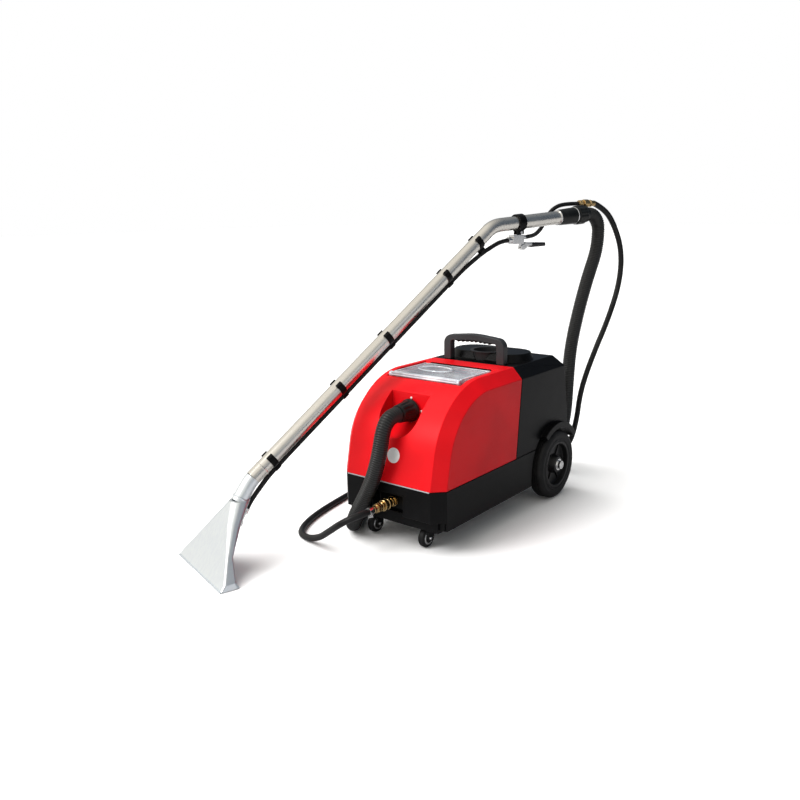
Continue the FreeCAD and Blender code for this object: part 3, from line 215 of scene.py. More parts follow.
class Nodes:
    """A node tree, and the one way in which nodes are added to it."""

    def __init__(self, tree):
        self.tree = tree

    def feed(self, socket, value):
        if isinstance(value, Value):
            self.tree.links.new(value.socket, socket)
        elif socket.type == "RGBA" and len(value) == 3:
            socket.default_value = (*value, 1.0)
        else:
            socket.default_value = value

    def node(self, kind, settings=None, inputs=None, output=0):
        made = self.tree.nodes.new(kind)
        for name, value in (settings or {}).items():
            if name == "stops":
                ramp = made.color_ramp.elements
                for at, _ in value[1:-1]:
                    ramp.new(at)
                for stop, (at, tone) in zip(ramp, value):
                    stop.position, stop.color = at, (*tone, 1.0)
            else:
                setattr(made, name, value)
        for name, value in (inputs or {}).items():
            self.feed(made.inputs[name], value)
        return Value(self, made.outputs[output])


class Look(Nodes):
    """A material: a Principled shader and the nodes that feed it."""

    def __init__(self, name, **constants):
        self.material = bpy.data.materials.new(name)
        self.material.use_nodes = True
        super().__init__(self.material.node_tree)
        self.shader = self.tree.nodes["Principled BSDF"]
        for socket, value in constants.items():
            self.shader.inputs[socket.replace("_", " ")].default_value = value
        self.place = self.node("ShaderNodeTexCoord", output="Object")

    def mix(self, share, first, second):
        """A colour mix, whose own colour sockets are its seventh and eighth."""
        return self.node("ShaderNodeMix", {"data_type": "RGBA"}, {0: share, 6: first, 7: second}, output=2)

    def noise(self, scale, detail=3.0, rough=0.5, place=None):
        return self.node("ShaderNodeTexNoise", None, {
            "Vector": place or self.place, "Scale": scale, "Detail": detail, "Roughness": rough})

    def mapped(self, turn, size):
        """The object's coordinates, turned and stretched."""
        return self.node("ShaderNodeMapping", {"vector_type": "TEXTURE"}, {
            "Vector": self.place, "Rotation": turn, "Scale": size})

    def attribute(self, name):
        return self.node("ShaderNodeAttribute", {"attribute_name": name}, output="Fac")

    def bump(self, height, distance):
        return self.node("ShaderNodeBump", None, {"Height": height, "Distance": distance, "Strength": 1.0})

    def wear(self, **sockets):
        """Feed the shader's sockets, and give the finished material."""
        for socket, value in sockets.items():
            self.feed(self.shader.inputs[socket.replace("_", " ")], value)
        return self.material


def shade(colour, share):
    """A colour made darker or lighter."""
    return tuple(min(1.0, v * share) for v in colour)


def moulded(name, colour, rough, grain=0.00012, coat=0.0, dust=0.12, scuff=0.0, shine=0.3):
    """Moulded plastic: slow colour drift, a fine pebbled skin, faint scuffs and floor dust."""
    look = Look(name, Coat_Roughness=0.25, Specular_IOR_Level=shine)
    drift = look.noise(7.0, 2.0)
    cloud = look.noise(38.0, 4.0, 0.6)
    fine = look.noise(1500.0, 2.0, 0.6)
    pebble = look.noise(420.0, 3.0, 0.55)
    colour_now = look.mix(drift.step(0.3, 0.7), shade(colour, 0.9), shade(colour, 1.08))
    height = look.node("ShaderNodeSeparateXYZ", None, {0: look.place}, output="Z")
    low = 1.0 - height.step(0.0, 0.16)
    film = (low * cloud.step(0.42, 0.72)) * dust
    streaks = look.noise(90.0, 5.0, 0.7, look.mapped((0.2, 0.4, 0.5), (6.0, 0.25, 0.25)))
    marks = streaks.step(0.66, 0.74) * scuff
    pale = tuple(0.6 * v + 0.09 for v in colour)
    colour_now = look.mix(film + marks, colour_now, pale)
    gloss = (cloud - 0.5) * 0.12 + film * 0.8 + marks * 0.5 + rough
    bump = look.bump(fine * 0.35 + pebble * 0.65, grain)
    return look.wear(Base_Color=colour_now, Roughness=gloss, Coat_Weight=coat, Normal=bump)


def rubber(name, colour, rough, grain=0.00008):
    """Smooth black rubber with a faint bloom and moulding grain."""
    look = Look(name, Specular_IOR_Level=0.3)
    bloom = look.noise(26.0, 4.0, 0.62)
    fine = look.noise(1100.0, 2.0)
    colour_now = look.mix(bloom.step(0.38, 0.75), colour, tuple(v * 1.5 + 0.008 for v in colour))
    gloss = (bloom - 0.5) * 0.22 + fine * 0.05 + rough
    return look.wear(Base_Color=colour_now, Roughness=gloss, Normal=look.bump(fine, grain))


def ribbed(name, colour):
    """Hose plastic: the ribs' crests are rubbed smooth and carry a painted highlight, the grooves carry
    painted shade, and dust lies in the grooves.
    """
    look = Look(name, Specular_IOR_Level=0.5)
    groove = look.attribute("groove")
    bloom = look.noise(18.0, 4.0, 0.6)
    grime = groove * bloom.step(0.45, 0.8)
    painted_crest_highlight = 1.0 - groove
    # Painted highlight and painted shade: the colour runs from a fifth of the hose's colour deep in the
    # grooves to a lighter one on the crests.
    colour_now = look.mix(painted_crest_highlight ** 2.0, shade(colour, 0.2), tuple(v * 1.6 + 0.006 for v in colour))
    colour_now = look.mix(grime * 0.15, colour_now, tuple(v * 1.6 + 0.012 for v in colour))
    gloss = groove * 0.35 + (bloom - 0.5) * 0.15 + 0.3
    return look.wear(Base_Color=colour_now, Roughness=gloss, Normal=look.bump(look.noise(900.0), 0.00006))


def metal(name, colour, rough, streak_turn=(0, 0, 0), streak=0.05, tint=0.05, scratch=0.00002):
    """Metal with fine drawn lines along one way, handling smudges and a little tone in the colour."""
    look = Look(name, Metallic=1.0)
    lines = look.noise(160.0, 4.0, 0.65, look.mapped(streak_turn, (30.0, 1.0, 1.0)))
    hairs = look.noise(1200.0, 2.0, 0.6, look.mapped(streak_turn, (60.0, 1.0, 1.0)))
    smudge = look.noise(22.0, 4.0, 0.6)
    colour_now = look.mix(lines.step(0.3, 0.75), shade(colour, 1 - tint), shade(colour, 1 + tint))
    gloss = (lines - 0.5) * streak + smudge.step(0.45, 0.75) * streak * 1.2 + rough
    bump = look.bump(lines * 0.4 + hairs * 0.6, scratch)
    return look.wear(Base_Color=colour_now, Roughness=gloss, Normal=bump)


def cast_brass(name):
    """Turned brass: bright, with thin lathe rings' sparkle and a few browned patches."""
    look = Look(name, Metallic=1.0)
    patch = look.noise(70.0, 4.0, 0.6)
    fine = look.noise(1600.0, 2.0)
    colour_now = look.mix(patch.step(0.42, 0.78), linear(206, 178, 128), linear(140, 108, 66))
    gloss = patch.step(0.4, 0.8) * 0.2 + fine * 0.06 + 0.16
    return look.wear(Base_Color=colour_now, Roughness=gloss, Normal=look.bump(fine, 0.00003))


def clear_plate(name, body):
    """Thick clear plastic with a share of body: a little cloudy, with fine wiping marks, and painted silvery
    white as a painted reflection of the bright surroundings.
    """
    look = Look(name, IOR=1.49, Specular_IOR_Level=0.8, Coat_Roughness=0.05)
    cloud = look.noise(16.0, 3.0, 0.55)
    wipe = look.noise(150.0, 4.0, 0.7, look.mapped((0, 0, 0.5), (8.0, 0.5, 0.5)))
    # Painted reflection: the silvery whites stand in for the bright surroundings mirrored in the clear
    # plastic; the mottling between them is cloudiness.
    colour_now = look.mix(cloud.step(0.35, 0.7), linear(196, 200, 210), linear(240, 242, 246))
    sight = cloud.step(0.3, 0.75) * 0.16 + wipe.step(0.6, 0.75) * 0.06 + body
    gloss = wipe.step(0.5, 0.8) * 0.08 + 0.07
    return look.wear(Base_Color=colour_now, Alpha=sight, Roughness=gloss, Coat_Weight=0.6,
                     Normal=look.bump(cloud, 0.0006))


def enamel(name, colour, rough):
    """Sprayed paint with a faint orange peel."""
    look = Look(name)
    spread = look.noise(300.0, 3.0)
    tone = look.noise(20.0, 3.0)
    colour_now = look.mix(tone.step(0.35, 0.7), shade(colour, 0.93), shade(colour, 1.04))
    return look.wear(Base_Color=colour_now, Roughness=(tone - 0.5) * 0.1 + rough, Coat_Weight=0.2,
                     Normal=look.bump(spread, 0.00008))


# The way in which the wand's metal is drawn: along its tube.
WAND_LINE = (0.0, math.radians(-37.2), math.radians(73.61))
LOOKS = {}


def build_looks(scene):
    """One material for each of the object's finishes."""
    shell, wand = scene.cleaner_shell, scene.cleaner_wand
    black, red, head, chrome = (tuple(colour) for colour in (shell.black, shell.red, wand.head, wand.chrome))
    finishes = {
        "black_plastic": (moulded, black, 0.34, dict(dust=0.05, scuff=0.04, shine=0.12)),
        "red_plastic": (moulded, red, 0.38, dict(grain=0.00009, coat=0.06, dust=0.03, scuff=0.03,
                                                 shine=0.14)),
        "grey_plastic": (moulded, linear(52, 53, 55), 0.38, dict(grain=0.00008, dust=0.0, scuff=0.1)),
        "strainer_plastic": (moulded, linear(44, 44, 46), 0.5, dict(dust=0.0)),
        "wheel_plastic": (moulded, linear(17, 17, 18), 0.36, dict(dust=0.05, scuff=0.04)),
        "band_black": (moulded, linear(13, 13, 14), 0.34, dict(grain=0.00005, dust=0.0, shine=0.12)),
        "lever_black": (moulded, linear(20, 20, 22), 0.25, dict(grain=0.00004, coat=0.5, dust=0.0)),
        # Pale grey for the strip on the base's front edge, a painted highlight.
        "bead_grey": (moulded, linear(168, 170, 174), 0.3, dict(grain=0.00004, dust=0.1)),
        "seal_rubber": (rubber, linear(28, 28, 28), 0.7, {}),
        "tyre_rubber": (rubber, linear(14, 14, 15), 0.56, dict(grain=0.00016)),
        "hose_rubber": (rubber, linear(14, 14, 15), 0.38, {}),
        "cuff_rubber": (rubber, linear(15, 17, 16), 0.33, dict(grain=0.00012)),
        "zinc_plate": (metal, (0.62, 0.63, 0.65), 0.34, {}),
        "bright_steel": (metal, (0.80, 0.80, 0.80), 0.2, {}),
        "head_metal": (metal, head, 0.36, dict(streak_turn=WAND_LINE, streak=0.03, tint=0.03,
                                               scratch=0.000004)),
        "tube_chrome": (metal, chrome, 0.27, dict(streak_turn=WAND_LINE, tint=0.04, scratch=0.000004)),
        "motor_shell": (enamel, linear(120, 124, 128), 0.35, {}),
        "screw_white": (enamel, linear(228, 228, 226), 0.3, {}),
        "badge_white": (enamel, linear(238, 238, 238), 0.28, {}),
    }
    for name, (make, colour, rough, more) in finishes.items():
        LOOKS[name] = make(name, colour, rough, **more)
    LOOKS["hose_plastic"] = ribbed("hose_plastic", linear(17, 18, 18))
    LOOKS["brass"] = cast_brass("brass")
    LOOKS["clear_plastic"] = clear_plate("clear_plastic", 0.46)
    LOOKS["lid_frame"] = clear_plate("lid_frame", 0.9)


# ---- mesh building --------------------------------------------------------------------------

def aimed(point, along, across=(1, 0, 0)):
    """A matrix whose Z axis runs along a direction, with its X axis as near another as it can be."""
    z = Vector(along).normalized()
    y = z.cross(Vector(across)).normalized()
    matrix = Matrix((y.cross(z), y, z)).transposed().to_4x4()
    matrix.translation = point
    return matrix


def on_run(start, end, along):
    """The wand's frame at a distance over the floor: Z runs up the tube and Y points under it."""
    share = (along - start.y) / (end.y - start.y)
    rise = math.atan2(end.z - start.z, end.y - start.y)
    return WAND @ Matrix.Translation(start.lerp(end, share)) @ Matrix.Rotation(rise - math.pi / 2, 4, "X")


def on_tube(along):
    return on_run(FOOT, ELBOW, along)


def on_handle(along):
    return on_run(ELBOW, TUBE_END, along)


def joined(*parts):
    """One mesh of several."""
    whole = bmesh.new()
    for part in parts:
        mesh = bpy.data.meshes.new("part")
        part.to_mesh(mesh)
        part.free()
        whole.from_mesh(mesh)
        bpy.data.meshes.remove(mesh)
    return whole


def moved(bm, matrix):
    bm.transform(matrix)
    return bm


def turned(points, steps, angle=math.tau):
    """A closed profile of (along, radius) corners in millimetres, spun about Z."""
    bm = bmesh.new()
    verts = [bm.verts.new((radius * MM, 0, along * MM)) for along, radius in points]
    edges = [bm.edges.new(pair) for pair in zip(verts, verts[1:] + verts[:1])]
    full = angle == math.tau
    bmesh.ops.spin(bm, geom=verts + edges, cent=(0, 0, 0), axis=(0, 0, 1), dvec=(0, 0, 0), angle=angle,
                   steps=steps, use_merge=full, use_duplicate=False)
    bmesh.ops.remove_doubles(bm, verts=bm.verts, dist=1e-6)
    if not full:
        bmesh.ops.holes_fill(bm, edges=bm.edges, sides=len(points))
    return bm


def block(low, high, edge):
    """A block between two corners in millimetres, its edges rounded."""
    bm = bmesh.new()
    bmesh.ops.create_cube(bm, size=1.0)
    size = (Vector(high) - Vector(low)) * MM
    middle = (Vector(high) + Vector(low)) / 2 * MM
    bm.transform(Matrix.Translation(middle) @ Matrix.Diagonal((*size, 1.0)))
    return rounded(bm, edge)


def hexagon(radius, low, high, edge):
    """A nut's form along Z, in millimetres, its radius measured to its corners."""
    bm = bmesh.new()
    bmesh.ops.create_cone(bm, cap_ends=True, cap_tris=False, segments=6, radius1=radius * MM,
                          radius2=radius * MM, depth=(high - low) * MM,
                          matrix=Matrix.Translation((0, 0, (low + high) / 2 * MM)))
    return rounded(bm, edge)


def rounded(bm, width, segments=2, crease=28):
    """Round every edge that turns more than the crease angle."""
    bm.normal_update()
    limit = math.radians(crease)
    sharp = [edge for edge in bm.edges if edge.is_manifold and edge.calc_face_angle(0.0) > limit]
    bmesh.ops.bevel(bm, geom=sharp, offset=width, offset_type="OFFSET", affect="EDGES", segments=segments,
                    profile=0.5, material=-1, clamp_overlap=False, loop_slide=True)
    return bm


def copy_of(node):
    """A joined-up copy of a CAD node's mesh, its flat faces whole again."""
    bm = bmesh.new()
    bm.from_mesh(frame["nodes"][node].data)
    bmesh.ops.remove_doubles(bm, verts=bm.verts, dist=2e-5)
    bmesh.ops.dissolve_limit(bm, angle_limit=math.radians(0.6), verts=bm.verts, edges=bm.edges)
    return bm


def reshaped(bm, factor):
    """Scale each corner's distance from Z by a factor of its angle, its height and that distance."""
    for vert in bm.verts:
        share = factor(math.atan2(vert.co.y, vert.co.x), vert.co.z / MM, vert.co.xy.length / MM)
        vert.co.x *= share
        vert.co.y *= share
    return bm


def fluted(bm, count, depth, low, high, fade=4):
    """Press finger flutes into a turned piece between two places along it, in millimetres."""
    def factor(angle, along, radius):
        share = min(max((along - low) / fade, 0.0), 1.0) * min(max((high - along) / fade, 0.0), 1.0)
        hollow = max(0.0, math.cos(count * angle)) ** 0.6
        return 1 - share * hollow * depth / max(radius, 1.0)
    return reshaped(bm, factor)


def knurled(bm, count, bands, depth=0.02):
    """Cut fine teeth into a turned piece, on stretches along it in millimetres."""
    def factor(angle, along, radius):
        cut = any(low < along < high for low, high in bands)
        return min(1 + depth * math.cos(count * angle), 1.0) if cut else 1.0
    return reshaped(bm, factor)


def finish(bm, name, slot, node, extra=False, crease=30, flat=True, look=None):
    """Turn a mesh into a finished piece on a CAD node's body, which stands for the node or is extra."""
    bmesh.ops.remove_doubles(bm, verts=bm.verts, dist=1e-6)
    bmesh.ops.recalc_face_normals(bm, faces=bm.faces)
    mesh = bpy.data.meshes.new(name)
    bm.to_mesh(mesh)
    bm.free()
    mesh.shade_smooth()
    mesh.set_sharp_from_angle(angle=math.radians(crease))
    mesh.materials.append(LOOKS[look or slot])
    piece = bpy.data.objects.new(name, mesh)
    bpy.context.scene.collection.objects.link(piece)
    if flat:
        weighted = piece.modifiers.new("Flat faces", "WEIGHTED_NORMAL")
        weighted.keep_sharp = True
    return mounted(piece, BODY_OF[node], () if extra else (node,))


def mounted(piece, body, nodes=()):
    """Let a piece ride on a body, in place of CAD nodes."""
    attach(piece, body)
    if nodes:
        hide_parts(*nodes)
    return piece


def softened(node, width, segments=2, look=None):
    """The CAD node's own shape with rounded edges, as a piece that stands for it."""
    return finish(rounded(copy_of(node), width, segments), node + "_skin", SLOT_OF[node], node, look=look)


def soften(widths):
    """Round the edges of several CAD nodes' shapes, each by its own width."""
    for node, width in widths.items():
        softened(node, width)


# ---- hoses ----------------------------------------------------------------------------------

def route_curve(name, points, radius=0.0):
    """A hose's line as one smooth curve."""
    curve = bpy.data.curves.new(name, "CURVE")
    curve.dimensions = "3D"
    curve.resolution_u = 16
    curve.bevel_depth = radius
    curve.bevel_resolution = 6
    curve.use_fill_caps = True
    spline = curve.splines.new("NURBS")
    spline.points.add(len(points) - 1)
    for knot, point in zip(spline.points, points):
        knot.co = (*point, 1.0)
    spline.order_u = 3
    spline.use_endpoint_u = True
    return bpy.data.objects.new(name, curve)


def bent_rod(points, radius=0.0):
    """The mesh of a smooth line, or of a rod along it."""
    rod = route_curve("rod", points, radius)
    mesh = bpy.data.meshes.new_from_object(rod)
    bpy.data.curves.remove(rod.data)
    bm = bmesh.new()
    bm.from_mesh(mesh)
    bpy.data.meshes.remove(mesh)
    return bm


def read_line(points):
    """The points of a hose's smooth line."""
    bm = bent_rod(points)
    line = [vert.co.copy() for vert in bm.verts]
    bm.free()
    return line


def stations(line, step):
    """Evenly spaced places along a line, each with its direction."""
    lengths = [0.0]
    for first, second in zip(line, line[1:]):
        lengths.append(lengths[-1] + (second - first).length)
    count = round(lengths[-1] / step)
    places = []
    run = 0
    for number in range(count + 1):
        want = lengths[-1] * number / count
        while run < len(line) - 2 and lengths[run + 1] < want:
            run += 1
        share = (want - lengths[run]) / max(lengths[run + 1] - lengths[run], 1e-9)
        places.append(line[run].lerp(line[run + 1], share))
    pairs = zip(places[:1] + places, places[1:] + places[-1:])
    return places, [(after - before).normalized() for before, after in pairs]


def corrugated(line, radius, pitch, depth, sides=20):
    """A ribbed hose: one ring pulled along the line, four places to each rib."""
    places, ways = stations(line, pitch / 4)
    profile = (depth, depth * 0.32, 0.0, depth * 0.32)
    bm = bmesh.new()
    groove = bm.verts.layers.float.new("groove")
    side = ways[0].orthogonal()
    before = aimed(places[0], ways[0], side) @ Matrix.Scale(radius - depth, 4)
    ring = bmesh.ops.create_circle(bm, segments=sides, radius=1.0, matrix=before)["verts"]
    loop = list(bm.edges)
    for vert in ring:
        vert[groove] = 1.0
    for number, (place, way) in enumerate(zip(places[1:], ways[1:]), 1):
        side = side - way * side.dot(way)
        drop = profile[number % 4]
        now = aimed(place, way, side) @ Matrix.Scale(radius - drop, 4)
        grown = bmesh.ops.extrude_edge_only(bm, edges=loop)["geom"]
        ring = [item for item in grown if isinstance(item, bmesh.types.BMVert)]
        loop = [item for item in grown if isinstance(item, bmesh.types.BMEdge)]
        bmesh.ops.transform(bm, matrix=now @ before.inverted(), verts=ring)
        for vert in ring:
            vert[groove] = drop / depth
        before = now
    return bm


def smooth_hose(name, node, route, radius):
    """A smooth rubber hose along a route, which stands for its CAD node."""
    hose = route_curve(name, route, radius)
    hose.data.materials.append(LOOKS["hose_rubber"])
    bpy.context.scene.collection.objects.link(hose)
    mounted(hose, BODY_OF[node], (node,))


class CLEANER_OT_vacuum_hose(Operator):
    """Lay the ribbed vacuum hose from the recess round the machine to the wand's collar"""
    bl_idname = "cleaner.vacuum_hose"
    bl_label = "Vacuum Hose"

    def execute(self, context):
        sizes = context.scene.cleaner_hoses
        route = [ORIGIN + Vector(point) for point in VACUUM_ROUTE]
        line = read_line(route)
        bm = corrugated(line, sizes.vacuum_radius, sizes.rib_pitch, sizes.rib_depth)
        hose = finish(bm, "ribbed_hose", "hose_plastic", "vacuum_hose", crease=180, flat=False)
        return {"FINISHED"}


class CLEANER_OT_solution_hose(Operator):
    """Lay the smooth solution hose, with its brass plug and its clamp, and the whip on the wand"""
    bl_idname = "cleaner.solution_hose"
    bl_label = "Solution Hoses"

    def execute(self, context):
        pieces = [make_plug(), make_clamp()]
        route = [ORIGIN + Vector(point) for point in SOLUTION_ROUTE]
        smooth_hose("smooth_hose", "solution_hose", route, context.scene.cleaner_hoses.solution_radius)
        route = [WAND @ Vector(point) for point in WHIP_ROUTE]
        smooth_hose("whip", "whip_hose", route, LINE_RADIUS)
        return {"FINISHED"}


class CLEANER_OT_front_cuff(Operator):
    """Make the fluted cuff that plugs the vacuum hose into the recovery tank"""
    bl_idname = "cleaner.front_cuff"
    bl_label = "Front Cuff"

    def execute(self, context):
        profile = (
            (0, 19), (0, 28.5), (1.5, 30), (6, 30), (8, 28.8), (9.5, 27.4), (12, 27), (20, 26), (30, 24.8),
            (40, 23.6), (46, 22.9), (47, 22.2), (48, 22.9), (49.5, 22.7), (50.5, 21.6), (53, 21), (53, 17.5),
            (12, 17.5), (12, 19),
        )
        bm = fluted(turned(profile, 96), count=10, depth=1.9, low=10, high=46)
        bm.transform(aimed(machine(0, 99, INLET_HEIGHT), (0, -1, 0)))
        finish(bm, "front_cuff_moulding", "cuff_rubber", "front_cuff", crease=50)
        return {"FINISHED"}


# The front coupling's frame: Z points out of the front.
FRONT_AXIS = aimed(machine(0, 30, COUPLING_HEIGHT), (0, -1, 0))


def make_plug():
    """The hose's half of the coupling: a stepped barrel, two nuts and a barbed tail."""
    barrel = turned((
        (32, 3), (32, 6.9), (51, 6.9), (51, 9.5), (52, 10.2), (54.5, 10.2), (55.2, 9.3), (56, 9.3),
        (56.8, 10.2), (59, 10.2), (60, 9.2), (74, 9), (75, 8.2), (78, 9.2), (81, 8.4), (84, 9.2),
        (86, 8.4), (86, 4.9), (106, 4.9), (106, 3),
    ), 48)
    nuts = [hexagon(13, 60.4, 66, 0.0007), hexagon(12.4, 67, 72.6, 0.0007)]
    return finish(moved(joined(barrel, *nuts), FRONT_AXIS), "coupling_plug", "brass", "coupler_plug")


def make_clamp():
    """The worm clamp: a slotted band with its screw's housing."""
    band = turned(((90, 8.6), (90, 10.2), (91, 10.6), (103, 10.6), (104, 10.2), (104, 8.6)), 48)
    turn = Matrix.Rotation(math.radians(200), 4, "Z")
    housing = moved(block((-5, 9.5, 92), (5, 15, 102), 0.0008), turn)
    across = Matrix.Translation((0, 12.4 * MM, 97 * MM)) @ Matrix.Rotation(math.radians(90), 4, "Y")
    screw = moved(hexagon(3.4, -8, 8, 0.0004), turn @ across)
    bm = moved(joined(band, housing, screw), FRONT_AXIS)
    return finish(bm, "worm_clamp", "bright_steel", "front_hose_clamp")


class CLEANER_OT_coupling(Operator):
    """Make the machine's half of the front coupling and its knurled sleeve"""
    bl_idname = "cleaner.coupling"
    bl_label = "Front Coupling"

    def execute(self, context):
        socket = turned((
            (-8, 3), (-8, 8), (0, 8), (0, 14), (1, 14.6), (7, 14.6), (8, 14), (8, 9), (14, 9), (14.4, 12),
            (15, 12.6), (19, 12.6), (20, 12), (20, 11), (27, 11), (27.4, 10.4), (28.4, 10.4), (28.8, 11),
            (50, 11), (50, 7), (30, 7), (30, 3),
        ), 56)
        finish(moved(socket, FRONT_AXIS), "coupling_socket", "brass", "outlet_socket")
        sleeve = turned((
            (28, 11.05), (28, 13.6), (28.6, 14.4), (30, 15), (34, 15), (34.8, 14.2), (35.4, 13.4),
            (41.6, 13.4), (42.2, 14.2), (43, 15), (47, 15), (48.4, 14.4), (49, 13.6), (49, 11.05),
        ), 96)
        sleeve = knurled(sleeve, 48, bands=((29.5, 34.5), (42.5, 47.5)))
        finish(moved(sleeve, FRONT_AXIS), "knurled_sleeve", "brass", "coupler_sleeve")
        return {"FINISHED"}


# ---- machine --------------------------------------------------------------------------------

class CLEANER_OT_shells(Operator):
    """Round the moulded shells: base, under tray, recovery tank, solution tank and strainer"""
    bl_idname = "cleaner.shells"
    bl_label = "Shells"

    def execute(self, context):
        edge = context.scene.cleaner_shell.edge
        soften({"base_pan": edge, "under_tray": edge, "recovery_tank": edge * 0.8, "solution_tank": edge,
                "fill_strainer": edge * 0.3, "inlet_flange": edge * 0.25})
        # A pale grey strip on the base's top front edge: a painted highlight where the rounded edge catches
        # the light.
        top = BASE_HIGH.z / MM
        bead = block((-131, -1.1, top - 1.9), (131, 1.6, top + 0.7), 0.0009)
        finish(moved(bead, Matrix.Translation(ORIGIN)), "base_edge_highlight_strip", "grey_plastic", "base_pan", extra=True,
               look="bead_grey")
        half = 12.5
        fillers = [moved(block((corner - half, 25, 65.5), (corner + half, 36, 87), 0.001),
                         Matrix.Translation(ORIGIN)) for corner in (-145, 145)]
        finish(joined(*fillers), "corner_fillers", "black_plastic", "base_pan", extra=True)
        return {"FINISHED"}


class CLEANER_OT_lid(Operator):
    """Make the clear lid with its moulded frame, ring and front bar, and its seal"""
    bl_idname = "cleaner.lid"
    bl_label = "Lid"

    def execute(self, context):
        finish(rounded(copy_of("tank_lid"), 0.0007), "clear_lid", "clear_plastic", "tank_lid")
        finish(joined(*self.frame(), self.ring(), *self.bar()), "lid_mouldings", "clear_plastic", "tank_lid",
               extra=True, look="lid_frame")
        softened("lid_gasket", 0.0004)
        return {"FINISHED"}

    def frame(self):
        """The raised frame along the plate's edges, thickest on the right."""
        side, front, back, foot, top = 108, 166, 304, 407, 409.4
        bars = (
            ((-side, front, foot), (side, front + 4, top)), ((-side, back - 4, foot), (side, back, top)),
            ((-side, front + 4, foot), (4 - side, back - 4, top)),
            ((side - 7, front + 4, foot), (side, back - 4, top + 1.2)),
        )
        return [moved(block(low, high, 0.0008), Matrix.Translation(ORIGIN)) for low, high in bars]

    def ring(self):
        """The oval stiffening ring."""
        ring = turned(((0, 25), (1.8, 25.8), (2.2, 27), (1.8, 28.2), (0, 29)), 72)
        oval = Matrix.Diagonal((1.85, 1.15, 1.0, 1.0))
        return moved(ring, Matrix.Translation(machine(-36, 256, 407)) @ oval)

    def bar(self):
        """The two bright beads along the front bar, and the bar's round ends."""
        made = []
        length = 224
        for y, z, radius in ((154.2, 408.4, 2.0), (152.2, 403.0, 1.8)):
            bead = turned(((0, 0), (0, radius * 0.6), (radius * 0.5, radius), (length - radius * 0.5, radius),
                           (length, radius * 0.6), (length, 0)), 20)
            made.append(moved(bead, aimed(machine(-length / 2, y, z), (1, 0, 0), (0, 1, 0))))
        for side in (-1, 1):
            cap = turned(((0, 0), (0, 6.6), (3, 7.4), (7, 7.4), (9, 6.4), (9, 0)), 32)
            made.append(moved(cap, aimed(machine(103 * side, 158, 403.8), (side, 0, 0), (0, 1, 0))))
        return made


class CLEANER_OT_carry_handle(Operator):
    """Round the carry handle's edges"""
    bl_idname = "cleaner.carry_handle"
    bl_label = "Carry Handle"

    def execute(self, context):
        softened("carry_handle", context.scene.cleaner_shell.edge * 1.2, segments=3)
        return {"FINISHED"}


class CLEANER_OT_badge(Operator):
    """Make the plain round disc on the front, with a raised rim"""
    bl_idname = "cleaner.badge"
    bl_label = "Badge"

    def execute(self, context):
        low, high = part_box("front_badge")
        disc = turned(((0, 0), (0, 19), (1.4, 19), (1.9, 18.5), (1.9, 17.3), (1.5, 16.8), (1.5, 0)), 64)
        outward = Vector((0, -math.cos(FRONT_LEAN), math.sin(FRONT_LEAN)))
        foot = (low + high) / 2 - outward * 0.0008
        finish(moved(disc, aimed(foot, outward)), "plain_badge", "badge_white", "front_badge")
        return {"FINISHED"}


def mirrored(profile):
    """A profile's right half, given as pairs of (radius, along), and its mirror image."""
    right = [(along, radius) for radius, along in profile]
    return right, [(-along, radius) for along, radius in reversed(right)]


class CLEANER_OT_rear_wheels(Operator):
    """Make the two rear wheels, with ridged tyres and ribbed rims, and the axle's ends"""
    bl_idname = "cleaner.rear_wheels"
    bl_label = "Rear Wheels"

    def execute(self, context):
        sizes = context.scene.cleaner_wheels
        for side, outward in (("right", 1), ("left", -1)):
            low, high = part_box("tyre_" + side)
            hub = aimed((low + high) / 2, (outward, 0, 0), (0, 1, 0))
            bm = moved(turned(self.tyre(sizes.tread_grooves), 128), hub)
            finish(bm, "ridged_tyre_" + side, "tyre_rubber", "tyre_" + side, crease=40)
            bm = moved(joined(turned(self.rim(), 96), *self.ribs(sizes.ribs)), hub)
            finish(bm, "ribbed_rim_" + side, "wheel_plastic", "wheel_rim_" + side)
        soften({"rear_axle": 0.0012, "axle_washers_and_nuts": 0.0004})
        return {"FINISHED"}

    def tyre(self, grooves):
        """The tyre's section: two raised rings on each side wall, round shoulders and a grooved tread."""
        right, left = mirrored((
            (68, 21.5), (71, 21.5), (72, 22.5), (74, 22.5), (75, 21.6), (84, 21.6), (85, 22.4), (87, 22.4),
            (88, 21.6), (92, 21.0), (96, 18.6), (98.8, 15.0), (99.7, 12.0),
        ))
        crown, floor, pitch = 100, 98.2, 8.0
        tread = []
        for number in range(grooves):
            middle = pitch * ((grooves - 1) / 2 - number)
            tread += [(middle + 1.3, crown), (middle + 0.8, floor),
                      (middle - 0.8, floor), (middle - 1.3, crown)]
        return right + tread + left

    def rim(self):
        """The rim's section: a rounded lip, a dished web and a long hub."""
        right, left = mirrored((
            (68, 20.5), (66.5, 21.5), (62, 21.5), (60.5, 20), (58, 8), (55, 5.5), (40, 4.5), (30, 5),
            (27, 9), (24, 20.5), (22.5, 22.5), (8.05, 22.5),
        ))
        return right + left

    def ribs(self, count):
        """Short ribs on both faces of the web, from the hub to the lip."""
        made = []
        for number in range(count):
            turn = Matrix.Rotation(math.tau * number / count, 4, "Z")
            for low, high in ((4, 8.5), (-8.5, -4)):
                made.append(moved(block((25, -2.2, low), (58.5, 2.2, high), 0.0008), turn))
        return made


